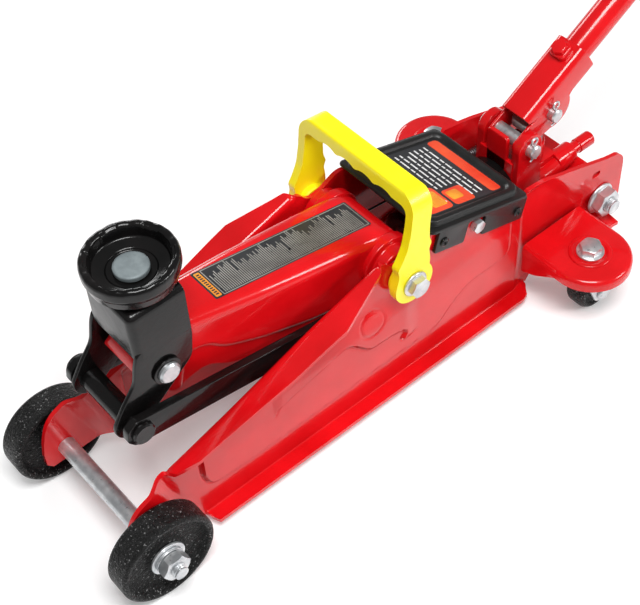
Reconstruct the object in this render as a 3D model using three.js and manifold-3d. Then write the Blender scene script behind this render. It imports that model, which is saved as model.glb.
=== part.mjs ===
// A compact two-ton trolley jack: a pressed-steel chassis on two cast wheels and two casters, a lifting
// arm with a parallel-motion saddle, a hydraulic unit pumped by a long handle, and a carrying bail.
//
// Frame while building: X runs from the front axle towards the handle, Y across the jack, Z up, and the
// floor is Z = 0. All sizes are millimetres. The finished group is moved so that its origin is the middle
// of the footprint.

import * as THREE from 'three';
import { mergeVertices } from 'three/addons/utils/BufferGeometryUtils.js';
import Module from 'manifold-3d';

const wasm = await Module();
wasm.setup();

// ---------------------------------------------------------------- driving dimensions

const GAP = 0.3; // running clearance left between touching pieces
const TURN_GAP = 0.5; // clearance of a bore that turns on a faceted pin
const WHEEL_SIDES = 28; // sides of a wheel and of the saddle
const ROUND = 20; // sides of a large round piece
const SMALL_ROUND = 12; // sides of a pin, bolt or bore
const SCREW_SIDES = 8; // sides of a small screw
const SHEET = 3; // thickness of the side plates

const WALL = 38.5; // inner face of a side plate, from the centre plane
const NOSE_FLARE = 6; // how far the front of a side plate steps outwards
const FLARE_RUN = 14; // length of that step

const AXLE = { x: 0, z: 33, radius: 6, stub: 5, half: 79.4 };
const WHEEL = { radius: 33, width: 18.5, inner: 49, hub: 63.5 };

const PIVOT = { x: 209, z: 107, radius: 9 }; // main pivot of the lifting arm
const ARM_PIN = { x: 46, z: 134.5, radius: 7 }; // arm to saddle bracket
const LINK_PIN = { x: 18.5, z: 109.5, radius: 5 }; // link to saddle bracket
const LINK_STUD = {
  x: LINK_PIN.x + PIVOT.x - ARM_PIN.x,
  z: LINK_PIN.z + PIVOT.z - ARM_PIN.z,
  radius: 5,
};
const CRANK = { reach: 37.5, lead: 6.5, radius: 6.2 }; // crosshead below the pivot, lead in degrees

const BRACKET = { outer: 23, sheet: 3, top: 189, front: 29.5, rear: 67 };
const SADDLE = { x: 50, z: 208.4, radius: 28 };
const CUP_DEPTH = 11.4;
const LINK = { inner: 26.5, outer: 32, half: 8.2 };

const CASTER = { x: 348, y: 76.5, trail: 5, wheel: 17, width: 16, top: 52, plate: 29 };
const CROSS_BOLT = { x: 396, z: 46, radius: 6 };

const UNIT_Z = 70; // height of the ram's axis
const RESERVOIR = { front: 250, rear: 331.7, radius: 23.5, bore: 20 };
const RAM = { radius: 9, head: 12, front: 220.3, length: 88 };

const COVER = { x: 274.6, z: 116, pitch: THREE.MathUtils.degToRad(16.2), half: 45.4, outer: 44.3 };
const SKIRT_SCREWS = [[241.5, 114], [307.5, 95]];
const SIDE_BOLT = { x: 271.5, z: 107, radius: 3 };

const SOCKET_PIN = { x: 344.2, z: 109.9, radius: 5 };
const ROLLER_PIN = { x: 370.7, z: 121, radius: 5 };
const SOCKET = {
  x: 352.7,
  z: 117.7,
  pitch: THREE.MathUtils.degToRad(31),
  size: 25,
  corner: 5.5,
  wall: 2.3,
  length: 60,
};
const HANDLE = { radius: 10, wall: 1.6, start: 26, end: 470 };
const PLUNGER = { x: 364, radius: 6, base: 62, gland: 94 };

const BAIL = {
  inner: 46.3, outer: 52.3, reach: 71, bar: 60, half: 7.8, foot: 15.2, corner: 14, lean: 6.5,
};

// ---------------------------------------------------------------- materials

const paint = (color, roughness, metalness) =>
  new THREE.MeshStandardMaterial({ color, roughness, metalness });

const red = () => paint(0xc8141a, 0.25, 0.1);
const black = () => paint(0x101012, 0.3, 0.1);
const castBlack = () => paint(0x1c1c1d, 0.65, 0.1);
const zinc = () => paint(0xb9bcc0, 0.3, 0.9);
const steel = () => paint(0x8d9094, 0.35, 0.9);
const yellow = () => paint(0xf7e313, 0.4, 0);
const blackPlastic = () => paint(0x18191b, 0.45, 0);

// ---------------------------------------------------------------- geometry helpers

// A plain closed mesh: only positions, shared corners merged, faces turned outwards.
function closed(geometry) {
  const bare = new THREE.BufferGeometry();
  bare.setAttribute('position', geometry.getAttribute('position').clone());
  if (geometry.index) bare.setIndex(geometry.index.clone());
  const merged = mergeVertices(bare, 1e-3);
  const place = merged.getAttribute('position');
  const corners = [];
  for (let i = 0; i < merged.index.count; i += 3) {
    const [a, b, c] = [merged.index.getX(i), merged.index.getX(i + 1), merged.index.getX(i + 2)];
    if (a !== b && b !== c && c !== a) corners.push(a, b, c);
  }
  const [p, q, r] = [new THREE.Vector3(), new THREE.Vector3(), new THREE.Vector3()];
  let volume = 0;
  for (let i = 0; i < corners.length; i += 3) {
    p.fromBufferAttribute(place, corners[i]);
    q.fromBufferAttribute(place, corners[i + 1]);
    r.fromBufferAttribute(place, corners[i + 2]);
    volume += p.dot(q.cross(r));
  }
  if (volume < 0) {
    for (let i = 0; i < corners.length; i += 3) {
      [corners[i], corners[i + 1]] = [corners[i + 1], corners[i]];
    }
  }
  merged.setIndex(corners);
  return merged;
}

function solid(geometry) {
  const mesh = closed(geometry);
  return new wasm.Manifold(
    new wasm.Mesh({
      numProp: 3,
      vertProperties: new Float32Array(mesh.getAttribute('position').array),
      triVerts: new Uint32Array(mesh.index.array),
    }),
  );
}

function geometryOf(manifold) {
  const mesh = manifold.getMesh();
  const geometry = new THREE.BufferGeometry();
  geometry.setAttribute('position', new THREE.BufferAttribute(new Float32Array(mesh.vertProperties), 3));
  geometry.setIndex(new THREE.BufferAttribute(new Uint32Array(mesh.triVerts), 1));
  return geometry;
}

const join = (...solids) => solids.reduce((whole, next) => whole.add(next));
const cut = (body, ...tools) => tools.reduce((rest, tool) => rest.subtract(tool), body);

function outline(points) {
  return new THREE.Shape(points.map(([a, b]) => new THREE.Vector2(a, b)));
}

// The points of an arc, from one angle to another in degrees.
function arc(x, y, radius, from, to, steps = 8) {
  const points = [];
  for (let i = 0; i <= steps; i += 1) {
    const angle = THREE.MathUtils.degToRad(from + ((to - from) * i) / steps);
    points.push([x + radius * Math.cos(angle), y + radius * Math.sin(angle)]);
  }
  return points;
}

// A rounded rectangle centred on a point.
function roundedBox(x, y, width, height, corner, steps = 5) {
  const [w, h] = [width / 2 - corner, height / 2 - corner];
  return [
    ...arc(x + w, y + h, corner, 0, 90, steps),
    ...arc(x - w, y + h, corner, 90, 180, steps),
    ...arc(x - w, y - h, corner, 180, 270, steps),
    ...arc(x + w, y - h, corner, 270, 360, steps),
  ];
}

const extrude = (points, depth) =>
  new THREE.ExtrudeGeometry(outline(points), { depth, bevelEnabled: false });

// Slabs: an outline drawn in (x, z), (x, y) or (y, z), thick along the third axis.
const slabY = (points, low, high) =>
  solid(extrude(points, high - low).rotateX(Math.PI / 2).translate(0, high, 0));
const slabZ = (points, low, high) => solid(extrude(points, high - low).translate(0, 0, low));
function slabX(points, low, high) {
  const turn = new THREE.Matrix4().makeBasis(
    new THREE.Vector3(0, 1, 0),
    new THREE.Vector3(0, 0, 1),
    new THREE.Vector3(1, 0, 0),
  );
  return solid(extrude(points, high - low).applyMatrix4(turn).translate(low, 0, 0));
}

const box = (x0, x1, y0, y1, z0, z1) =>
  solid(
    new THREE.BoxGeometry(x1 - x0, y1 - y0, z1 - z0).translate((x0 + x1) / 2, (y0 + y1) / 2, (z0 + z1) / 2),
  );

const rodY = (radius, low, high, x, z, sides = SMALL_ROUND) =>
  solid(
    new THREE.CylinderGeometry(radius, radius, high - low, sides).translate(x, (low + high) / 2, z),
  );
const rodZ = (radius, low, high, x, y, sides = SMALL_ROUND) =>
  solid(
    new THREE.CylinderGeometry(radius, radius, high - low, sides)
      .rotateX(Math.PI / 2)
      .translate(x, y, (low + high) / 2),
  );
const rodX = (radius, low, high, y, z, sides = SMALL_ROUND) =>
  solid(
    new THREE.CylinderGeometry(radius, radius, high - low, sides)
      .rotateZ(Math.PI / 2)
      .translate((low + high) / 2, y, z),
  );

// Turned pieces: [radius, height] pairs revolved about an axis through (x, z) or (x, y).
function turned(profile, sides) {
  return new THREE.LatheGeometry(profile.map(([r, h]) => new THREE.Vector2(r, h)), sides);
}
const turnedY = (profile, x, z, sides = ROUND) => solid(turned(profile, sides).translate(x, 0, z));
const turnedZ = (profile, x, y, sides = ROUND) =>
  solid(turned(profile, sides).rotateX(Math.PI / 2).translate(x, y, 0));
function turnedX(profile, y, z, sides = ROUND) {
  return solid(turned(profile, sides).rotateZ(-Math.PI / 2).translate(0, y, z));
}

const flip = (body) => body.mirror([0, 1, 0]);
const sides = [['left', false], ['right', true]];

const jack = new THREE.Group();

function piece(name, body, material) {
  const mesh = new THREE.Mesh(geometryOf(body), material);
  mesh.name = name;
  jack.add(mesh);
}

// The same piece on the left (negative Y) and mirrored on the right.
function pair(name, leftBody, material) {
  for (const [side, mirrored] of sides) {
    piece(`${name}_${side}`, mirrored ? flip(leftBody) : leftBody, material());
  }
}

// ---------------------------------------------------------------- side plates

const PLATE_TOP = [
  [18, 72.5], [22, 74], [39, 79], [68.6, 88.5], [99, 99], [136, 112], [179, 125], [189.5, 128.5],
  [194.5, 126], [202, 117.5],
];
const coverLine = (x, drop) => COVER.z - (x - COVER.x) * Math.tan(COVER.pitch) - drop;

function plateOutline() {
  return [
    [-12, 20.5], [33, 21.5], [41.5, 7], [328, 7], [333, 14], [333, 28], [402, 28], [417, 32],
    ...arc(405, 66, 13, 0, 68, 3),
    [399, 80.5], [381, 86.6], [362, 93], [337, 100.5], [320.5, 103], [319, coverLine(318, 3.4)],
    [224, coverLine(224, 3.4)], [212, 119.5],
    ...PLATE_TOP.slice().reverse(),
    [6.6, 69.5], [-3.4, 65.2], [-9.5, 58.2], [-13.8, 46], [-15.8, 34.4], [-15.8, 24],
  ];
}

// The nose of the plate steps outwards in front of a leaning crease.
function sidePlate() {
  const flat = slabY(plateOutline(), -WALL - SHEET, -WALL);
  const crease = new THREE.Vector2(20.7, 67).sub(new THREE.Vector2(40.5, 8)).normalize();
  const foot = new THREE.Vector2(40.5, 8);
  const across = new THREE.Vector2(crease.y, -crease.x); // points away from the nose
  const far = 200;
  const band = (from, to) => {
    const corner = (a, b) => [
      foot.x + across.x * a + crease.x * b,
      foot.y + across.y * a + crease.y * b,
    ];
    return slabY([corner(from, -far), corner(to, -far), corner(to, far), corner(from, far)], -80, 0);
  };
  const lap = 0.05;
  const main = flat.subtract(band(-far, 0));
  const nose = flat.intersect(band(-far, -FLARE_RUN)).translate([0, -NOSE_FLARE, 0]);
  const rise = NOSE_FLARE / FLARE_RUN;
  const slope = new THREE.Matrix4().set(
    1, 0, 0, 0,
    across.x * rise, 1, across.y * rise, -(across.x * foot.x + across.y * foot.y) * rise,
    0, 0, 1, 0,
    0, 0, 0, 1,
  );
  const step = geometryOf(flat.intersect(band(-FLARE_RUN - lap, lap))).applyMatrix4(slope);
  return join(main, nose, solid(step));
}

function plateFlanges() {
  const top = PLATE_TOP.slice(1, 9);
  const under = top.map(([x, z]) => [x, z - SHEET]).reverse();
  const plan = slabZ(
    [
      [24, -WALL], [26, -46], [40, -51.5], [73, -54], [110, -57.5], [149, -59], [192, -44], [194, -WALL],
    ],
    60,
    140,
  );
  const upper = slabY([...top, ...under], -60, -WALL).intersect(plan);
  const lower = slabZ([[42.5, -WALL], [45, -52], [318, -52], [328, -WALL]], 7, 7 + SHEET);
  const ear = slabZ([[376, -WALL], [379, -60], [400, -60], [402, -WALL]], 28, 28 + SHEET);
  return [upper, lower, ear];
}

function leftPlate() {
  const bores = [
    rodY(AXLE.stub + GAP, -60, 0, AXLE.x, AXLE.z),
    rodY(PIVOT.radius + GAP, -60, 0, PIVOT.x, PIVOT.z),
    rodY(LINK_STUD.radius + GAP, -60, 0, LINK_STUD.x, LINK_STUD.z),
    rodY(CROSS_BOLT.radius + GAP, -60, 0, CROSS_BOLT.x, CROSS_BOLT.z),
    rodY(SIDE_BOLT.radius + GAP, -60, 0, SIDE_BOLT.x, SIDE_BOLT.z),
    slabY(roundedBox(389.5, 72, 8, 4.5, 2, 2), -60, 0),
    ...SKIRT_SCREWS.map(([x, z]) => rodY(1.6 + GAP, -60, 0, x, z, SCREW_SIDES)),
  ];
  return cut(join(sidePlate(), ...plateFlanges()), ...bores);
}

pair('side_plate', leftPlate(), red);

// ---------------------------------------------------------------- front wheels

const noseFace = WALL + SHEET + NOSE_FLARE;
piece(
  'front_axle',
  turnedY(
    [
      [0, -AXLE.half], [AXLE.stub - 1, -AXLE.half], [AXLE.stub, -AXLE.half + 1],
      [AXLE.stub, -WALL - NOSE_FLARE + GAP], [AXLE.radius, -WALL - NOSE_FLARE + GAP],
      [AXLE.radius, WALL + NOSE_FLARE - GAP], [AXLE.stub, WALL + NOSE_FLARE - GAP],
      [AXLE.stub, AXLE.half - 1], [AXLE.stub - 1, AXLE.half], [0, AXLE.half],
    ],
    AXLE.x,
    AXLE.z,
    SMALL_ROUND,
  ),
  zinc(),
);

function frontWheel() {
  const middle = -(WHEEL.inner + WHEEL.width / 2);
  const h = WHEEL.width / 2;
  const bore = AXLE.stub + GAP;
  const inside = noseFace + GAP - WHEEL.inner; // the hub stands out towards the plate
  const outside = WHEEL.inner + h - WHEEL.hub; // and is sunk below the rim on the outer side
  return turnedY(
    [
      [bore, outside], [12.5, outside], [14.4, -3.5], [28, -4.5], [29.5, -h + 0.6], [31, -h],
      [33, -h + 1.2], [33, h - 1.2], [31, h], [29.5, h - 0.6], [28, 4.5], [11.5, 3.5], [9.5, h - inside],
      [bore, h - inside], [bore, outside],
    ].map(([r, y]) => [r, y + middle]),
    AXLE.x,
    AXLE.z,
    WHEEL_SIDES,
  );
}

const washerY = [-WHEEL.hub - GAP - 2, -WHEEL.hub - GAP];
pair('front_wheel', frontWheel(), castBlack);
pair(
  'front_washer',
  cut(rodY(12, ...washerY, AXLE.x, AXLE.z), rodY(AXLE.stub + GAP, -90, 0, AXLE.x, AXLE.z)),
  zinc,
);

// A hexagon nut with chamfered corners, its axis along Y.
function nutY(acrossCorners, bore, low, high, x, z) {
  const hexagon = rodY(acrossCorners, low, high, x, z, 6);
  const mid = (low + high) / 2;
  const half = (high - low) / 2;
  const dome = turnedY(
    [
      [0, mid - half], [acrossCorners * 0.86, mid - half], [acrossCorners * 1.02, mid - half + 1.2],
      [acrossCorners * 1.02, mid + half], [0, mid + half],
    ],
    x,
    z,
    SMALL_ROUND,
  );
  const blank = hexagon.intersect(dome);
  return bore > 0 ? blank.subtract(rodY(bore, low - 5, high + 5, x, z)) : blank;
}


// The nut and its spring washer, pressed together.
function frontNut() {
  const seat = washerY[0] - GAP;
  const nut = nutY(9.8, AXLE.stub + GAP, seat - 9, seat - 1.8, AXLE.x, AXLE.z);
  const collar = rodY(9.6, seat - 2, seat, AXLE.x, AXLE.z);
  return join(nut, cut(collar, rodY(AXLE.stub + GAP, -90, 0, AXLE.x, AXLE.z)));
}
pair('front_nut', frontNut(), zinc);

// ---------------------------------------------------------------- lifting arm

const crankAngle = THREE.MathUtils.degToRad(CRANK.lead);
const CROSSHEAD = {
  x: PIVOT.x + CRANK.reach * Math.sin(crankAngle),
  z: PIVOT.z - CRANK.reach * Math.cos(crankAngle),
};

function armProfile() {
  return [
    ...arc(ARM_PIN.x, ARM_PIN.z, 14.5, 200, 100, 4),
    [49, 157], [60, 156], [205, 129.8], [214, 126.5], [220, 122], [222.6, 116.5],
    ...arc(PIVOT.x, PIVOT.z, 17, 30, -40, 2),
    ...arc(CROSSHEAD.x, CROSSHEAD.z, 10, 20, -140, 4),
    [150, 80], [91, 97], [76, 108.5], [56, 103.5], [50, 105], [38, 121],
  ];
}

// The arm seen from above: [distance along, half width] from the saddle end to the pivot.
const ARM_WIDTHS = [[20, 16.6], [71, 18.2], [118, 22.3], [176, 25.4], [240, 25.7]];

function armPlan(inset) {
  const near = ARM_WIDTHS.map(([x, half]) => [x, inset - half]);
  const other = ARM_WIDTHS.map(([x, half]) => [x, half - inset]).reverse();
  return slabZ([...near, ...other], 50, 170);
}

function liftArm() {
  const skin = 3.6;
  const outer = slabY(armProfile(), -40, 40).intersect(armPlan(0));
  const roof = [
    [20, 148], [49, 157 - skin], [60, 156 - skin], [205, 129.8 - skin], [214, 126.5 - skin],
    [230, 119.5 - skin], [240, 40], [20, 40],
  ];
  const shell = outer.subtract(slabY(roof, -40, 40).intersect(armPlan(skin)));
  const noseTube = rodY(11, -17, 17, ARM_PIN.x, ARM_PIN.z);
  const hubTube = rodY(15, -WALL + 1.2, WALL - 1.2, PIVOT.x, PIVOT.z, ROUND);
  const collars = [-1, 1].map((s) =>
    rodY(19.5, s > 0 ? 22.5 : -29.5, s > 0 ? 29.5 : -22.5, PIVOT.x, PIVOT.z, ROUND),
  );
  const springLug = [-1, 1].map((s) => {
    const [low, high] = s > 0 ? [25, 29.5] : [-29.5, -25];
    return slabY(arc(PIVOT.x, PIVOT.z, 24, -120, -60, 2).concat([[PIVOT.x, PIVOT.z]]), low, high);
  });
  return cut(
    join(shell, noseTube, hubTube, ...collars, ...springLug),
    rodY(ARM_PIN.radius + TURN_GAP, -40, 40, ARM_PIN.x, ARM_PIN.z),
    rodY(PIVOT.radius + TURN_GAP, -60, 60, PIVOT.x, PIVOT.z),
    rodY(CRANK.radius + GAP, -60, 60, CROSSHEAD.x, CROSSHEAD.z),
    rodY(1.6, -60, 60, PIVOT.x + 1, PIVOT.z - 21, SCREW_SIDES),
  );
}

piece('lift_arm', liftArm(), red());

const boltBore = 4 + GAP;
piece(
  'arm_pivot_shaft',
  cut(
    rodY(PIVOT.radius, -WALL - SHEET, WALL + SHEET, PIVOT.x, PIVOT.z),
    rodY(boltBore, -60, -WALL + 8, PIVOT.x, PIVOT.z),
    rodY(boltBore, WALL - 8, 60, PIVOT.x, PIVOT.z),
  ),
  steel(),
);

piece('ram_crosshead', rodY(CRANK.radius, -25.6, 25.6, CROSSHEAD.x, CROSSHEAD.z), steel());

const pinEnd = BRACKET.outer + 5;
const grooved = (radius, x, z) => {
  const half = [[radius - 1, -pinEnd], [radius, -pinEnd + 1], [radius, -BRACKET.outer - 2.4]];
  const groove = [[radius - 1.2, -BRACKET.outer - 2.4], [radius - 1.2, -BRACKET.outer - 0.6]];
  const left = [[0, -pinEnd], ...half, ...groove, [radius, -BRACKET.outer - 0.6]];
  const right = left.map(([r, y]) => [r, -y]).reverse();
  return turnedY([...left, ...right], x, z, SMALL_ROUND);
};
piece('arm_front_pin', grooved(ARM_PIN.radius, ARM_PIN.x, ARM_PIN.z), zinc());

// An open retaining ring in a pin's groove, its gap towards the floor.
function retainingRing(radius, x, z, low, high) {
  const ring = cut(
    rodY(radius + 2.6, low, high, x, z),
    rodY(radius - 1.2 + GAP, low - 1, high + 1, x, z),
  );
  return ring.subtract(box(x - 2, x + 2, low - 1, high + 1, z - 20, z));
}
pair(
  'arm_pin_ring',
  retainingRing(ARM_PIN.radius, ARM_PIN.x, ARM_PIN.z, -BRACKET.outer - 2.1, -BRACKET.outer - 0.9),
  black,
);

// ---------------------------------------------------------------- saddle bracket, saddle, links

const bracketSide = () => [
  [BRACKET.front, BRACKET.top], [BRACKET.rear, BRACKET.top], [BRACKET.rear, 149], [64.5, 132], [40, 112],
  ...arc(LINK_PIN.x, LINK_PIN.z, 12, -30, -200, 5),
  [14, 124], [24.5, 137], [27, 152],
];

function saddleBracket() {
  const { outer, sheet, top, front, rear } = BRACKET;
  const cheek = slabY(bracketSide(), -outer, -outer + sheet);
  const roof = box(front, rear, -outer, outer, top - sheet, top);
  const web = slabX([[-outer, top], [outer, top], [outer, 153], [-outer, 158]], front, front + sheet);
  return cut(
    join(cheek, flip(cheek), roof, web),
    rodY(ARM_PIN.radius + GAP, -60, 60, ARM_PIN.x, ARM_PIN.z),
    rodY(LINK_PIN.radius + GAP, -60, 60, LINK_PIN.x, LINK_PIN.z),
    rodZ(6 + GAP, top - 10, top + 10, SADDLE.x, 0),
  );
}
piece('saddle_bracket', saddleBracket(), black());

function saddleCup() {
  const base = BRACKET.top + GAP;
  const r = SADDLE.radius;
  const top = SADDLE.z;
  return turnedZ(
    [
      [6.5, base], [17, base], [20, base + 2.5], [25.6, base + 3], [26.6, base + 9], [r, base + 11],
      [r, top - 1.8], [26.6, top], [24, top], [22.8, top - 1.5], [21.8, top - 8.6], [14.8, top - 10.2],
      [14, top - CUP_DEPTH], [6.5, top - CUP_DEPTH], [6.5, base],
    ],
    SADDLE.x,
    0,
    WHEEL_SIDES,
  );
}
piece('saddle_cup', saddleCup(), black());

const rivetSeat = SADDLE.z - CUP_DEPTH + GAP;
piece(
  'saddle_rivet',
  turnedZ(
    [
      [0, BRACKET.top - 6], [9, BRACKET.top - 6], [9, BRACKET.top - 3 - GAP],
      [6, BRACKET.top - 3 - GAP], [6, rivetSeat], [10.4, rivetSeat], [10.4, rivetSeat + 2.8],
      [9.2, rivetSeat + 3.6], [0, rivetSeat + 3.6],
    ],
    SADDLE.x,
    0,
    SMALL_ROUND,
  ),
  zinc(),
);

function linkBar() {
  const [a, b] = [LINK_PIN, LINK_STUD];
  const lean = THREE.MathUtils.radToDeg(Math.atan2(b.z - a.z, b.x - a.x));
  const bar = slabY(
    [
      ...arc(a.x, a.z, 10.5, lean + 250, lean + 110, 5),
      ...arc(b.x, b.z, LINK.half + 1.5, lean + 90, lean - 90, 5),
    ],
    -LINK.outer,
    -LINK.inner,
  );
  return cut(
    bar,
    rodY(LINK_PIN.radius + 0.6, -60, 0, a.x, a.z),
    rodY(LINK_STUD.radius + TURN_GAP, -60, 0, b.x, b.z),
  );
}
pair('link', linkBar(), black);

// The front pin is a spacer tube between the cheeks, shouldered down to carry the two links.
function linkFrontPin() {
  const half = [
    [0, -LINK.outer - 3.4], [7.4, -LINK.outer - 3.4], [7.4, -LINK.outer - 0.6],
    [LINK_PIN.radius, -LINK.outer - 0.6], [LINK_PIN.radius, -BRACKET.outer + BRACKET.sheet + GAP],
    [7.2, -BRACKET.outer + BRACKET.sheet + GAP],
  ];
  const other = half.map(([r, y]) => [r, -y]).reverse();
  return turnedY([...half, ...other], LINK_PIN.x, LINK_PIN.z, SMALL_ROUND);
}
piece('link_front_pin', linkFrontPin(), black());

const studIn = -(LINK.inner - 0.4);
pair(
  'link_stud',
  turnedY(
    [
      [0, -WALL - SHEET - 2.6], [8, -WALL - SHEET - 2.6], [8, -WALL - SHEET - GAP],
      [LINK_STUD.radius, -WALL - SHEET - GAP], [LINK_STUD.radius, studIn], [0, studIn],
    ],
    LINK_STUD.x,
    LINK_STUD.z,
    SMALL_ROUND,
  ),
  zinc,
);

// ---------------------------------------------------------------- casters

function casterMount() {
  const face = -(WALL + SHEET + GAP);
  const cup = (radius) => [
    [CASTER.x - radius, face],
    ...arc(CASTER.x, -CASTER.y, radius, 180, 360, 10),
    [CASTER.x + radius, face],
  ];
  const rim = CASTER.top - 9;
  const front = CASTER.x - CASTER.plate;
  const web = [[face, 26], [-74, rim], [-74, CASTER.top], [face, CASTER.top]];
  const gusset = slabX(web, front, front + SHEET);
  return cut(
    join(slabZ(cup(CASTER.plate), rim, CASTER.top), gusset),
    slabZ(cup(CASTER.plate - SHEET), rim - 30, CASTER.top - SHEET),
    rodZ(5 + GAP, 30, 70, CASTER.x, -CASTER.y),
  );
}
pair('caster_mount', casterMount(), red);

function casterBolt() {
  const head = rodZ(8, CASTER.top + GAP, CASTER.top + GAP + 6.5, CASTER.x, -CASTER.y, 6);
  const seat = CASTER.top;
  const dome = turnedZ(
    [[0, seat], [9, seat], [9, seat + 5.6], [6.8, seat + 6.8], [0, seat + 6.8]],
    CASTER.x,
    -CASTER.y,
    SMALL_ROUND,
  );
  const washer = rodZ(9.5, CASTER.top + GAP, CASTER.top + GAP + 1.4, CASTER.x, -CASTER.y);
  return join(head.intersect(dome), washer, rodZ(5, 38, CASTER.top + 1, CASTER.x, -CASTER.y));
}
pair('caster_bolt', casterBolt(), zinc);

const casterWheelX = CASTER.x + CASTER.trail;
function casterFork() {
  const race = rodZ(14, 38, CASTER.top - SHEET - GAP, CASTER.x, -CASTER.y, ROUND);
  const inner = CASTER.width / 2 + 1.2;
  const outer = inner + 2.2;
  const bridge = slabZ(roundedBox(CASTER.x + 1, -CASTER.y, 32, 2 * outer, 5, 2), 36, 39);
  const cheek = slabY(
    [
      [CASTER.x - 13, 38], ...arc(casterWheelX, CASTER.wheel, 8, 200, 350, 4), [CASTER.x + 16, 38],
    ],
    -CASTER.y - outer,
    -CASTER.y - inner,
  );
  const other = cheek.translate([0, outer + inner, 0]);
  return cut(
    join(race, bridge, cheek, other),
    rodZ(5 + GAP, 20, 70, CASTER.x, -CASTER.y),
    rodY(3 + GAP, -CASTER.y - 20, -CASTER.y + 20, casterWheelX, CASTER.wheel, SCREW_SIDES),
  );
}
pair('caster_fork', casterFork(), zinc);

const casterHalf = CASTER.width / 2;
pair(
  'caster_wheel',
  turnedY(
    [
      [3 + GAP, -casterHalf - 0.7], [6, -casterHalf - 0.7], [6.5, -casterHalf + 1.5],
      [12, -casterHalf + 1.5], [13, -casterHalf], [15, -casterHalf], [17, -casterHalf + 3], [17, casterHalf - 3], [15, casterHalf],
      [13, casterHalf], [12, casterHalf - 1.5], [6.5, casterHalf - 1.5], [6, casterHalf + 0.7],
      [3 + GAP, casterHalf + 0.7], [3 + GAP, -casterHalf - 0.7],
    ].map(([r, y]) => [r, y - CASTER.y]),
    casterWheelX,
    CASTER.wheel,
  ),
  castBlack,
);

pair(
  'caster_axle',
  turnedY(
    [
      [0, -14], [4.5, -14], [5.5, -13], [5.5, -11.7], [3, -11.7], [3, 11.7], [5.5, 11.7], [5.5, 13],
      [4.5, 14], [0, 14],
    ].map(([r, y]) => [r, y - CASTER.y]),
    casterWheelX,
    CASTER.wheel,
    SCREW_SIDES,
  ),
  zinc,
);

// ---------------------------------------------------------------- hydraulic unit

function powerUnit() {
  const base = box(332, 404, -24, 24, 38, 60);
  const tower = box(332, 382, -18, 18, 58, 82);
  const web = box(332, 335.2, -15, 15, 80, 106);
  const boss = rodZ(11, 80, PLUNGER.gland, PLUNGER.x, 0, ROUND);
  const lugs = [-19.5, 13].map((low) =>
    slabY([[332, 60], [357, 60], ...arc(SOCKET_PIN.x, SOCKET_PIN.z, 11, -10, 190, 6)], low, low + 6.5),
  );
  const valveBoss = rodX(7.6, 380, 397, -10, 68);
  return cut(
    join(base, tower, web, boss, ...lugs, valveBoss),
    rodY(CROSS_BOLT.radius + GAP, -60, 60, CROSS_BOLT.x, CROSS_BOLT.z),
    rodY(SOCKET_PIN.radius + GAP, -60, 60, SOCKET_PIN.x, SOCKET_PIN.z),
    rodZ(PLUNGER.radius + GAP, PLUNGER.base, 120, PLUNGER.x, 0),
    rodX(4.7 + GAP, 384, 420, -10, 68),
  );
}
piece('power_unit', powerUnit(), red());

piece(
  'reservoir_tube',
  turnedX(
    [
      [RAM.radius + GAP, RESERVOIR.front], [20, RESERVOIR.front], [RESERVOIR.radius, RESERVOIR.front + 2],
      [RESERVOIR.radius, RESERVOIR.rear], [RESERVOIR.bore, RESERVOIR.rear],
      [RESERVOIR.bore, RESERVOIR.front + 10], [RAM.radius + GAP, RESERVOIR.front + 10],
      [RAM.radius + GAP, RESERVOIR.front],
    ],
    0,
    UNIT_Z,
  ),
  black(),
);

piece(
  'ram_rod',
  turnedX(
    [
      [0, RAM.front], [RAM.head, RAM.front], [RAM.head, RAM.front + 6], [RAM.radius, RAM.front + 8],
      [RAM.radius, RAM.front + RAM.length - 10], [RESERVOIR.bore - 1, RAM.front + RAM.length - 10],
      [RESERVOIR.bore - 1, RAM.front + RAM.length], [0, RAM.front + RAM.length],
    ],
    0,
    UNIT_Z,
  ),
  zinc(),
);

// The pump plunger carries a flat pad that the roller pin presses on.
const padTop = ROLLER_PIN.z - ROLLER_PIN.radius - GAP;
piece(
  'pump_plunger',
  join(
    rodZ(PLUNGER.radius, PLUNGER.base + 4, padTop - 3, PLUNGER.x, 0),
    slabZ(roundedBox(PLUNGER.x, 0, 24, 17, 5, 2), padTop - 6, padTop),
  ),
  zinc(),
);
piece(
  'plunger_spring',
  cut(
    rodZ(9.4, PLUNGER.gland + GAP, padTop - 6 - GAP, PLUNGER.x, 0),
    rodZ(7.2, PLUNGER.gland - 5, padTop, PLUNGER.x, 0),
  ),
  steel(),
);

piece(
  'release_valve',
  join(rodX(4.7, 386, 418, -10, 68), rodX(5.4, 404, 418, -10, 68)),
  red(),
);

// Return springs: a coil envelope with a straight hook at each end, from the ear slot to the arm.
function returnSpring() {
  const rear = new THREE.Vector3(387, -28, 72);
  const front = new THREE.Vector3(PIVOT.x + 8, -31.8, PIVOT.z - 21);
  const line = new THREE.Vector3().subVectors(rear, front);
  const along = new THREE.Quaternion().setFromUnitVectors(
    new THREE.Vector3(0, 1, 0),
    line.clone().normalize(),
  );
  const stretch = (radius, from, to) => {
    const middle = front.clone().addScaledVector(line, (from + to) / 2);
    return solid(
      new THREE.CylinderGeometry(radius, radius, line.length() * (to - from), SCREW_SIDES)
        .applyQuaternion(along)
        .translate(middle.x, middle.y, middle.z),
    );
  };
  const hook = rodY(1.1, -37.6, -27, rear.x, rear.z, SCREW_SIDES);
  return join(stretch(1.1, 0, 1), stretch(3.8, 0.3, 0.88), hook);
}
pair('return_spring', returnSpring(), steel);

// ---------------------------------------------------------------- rear cross bolt

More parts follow.
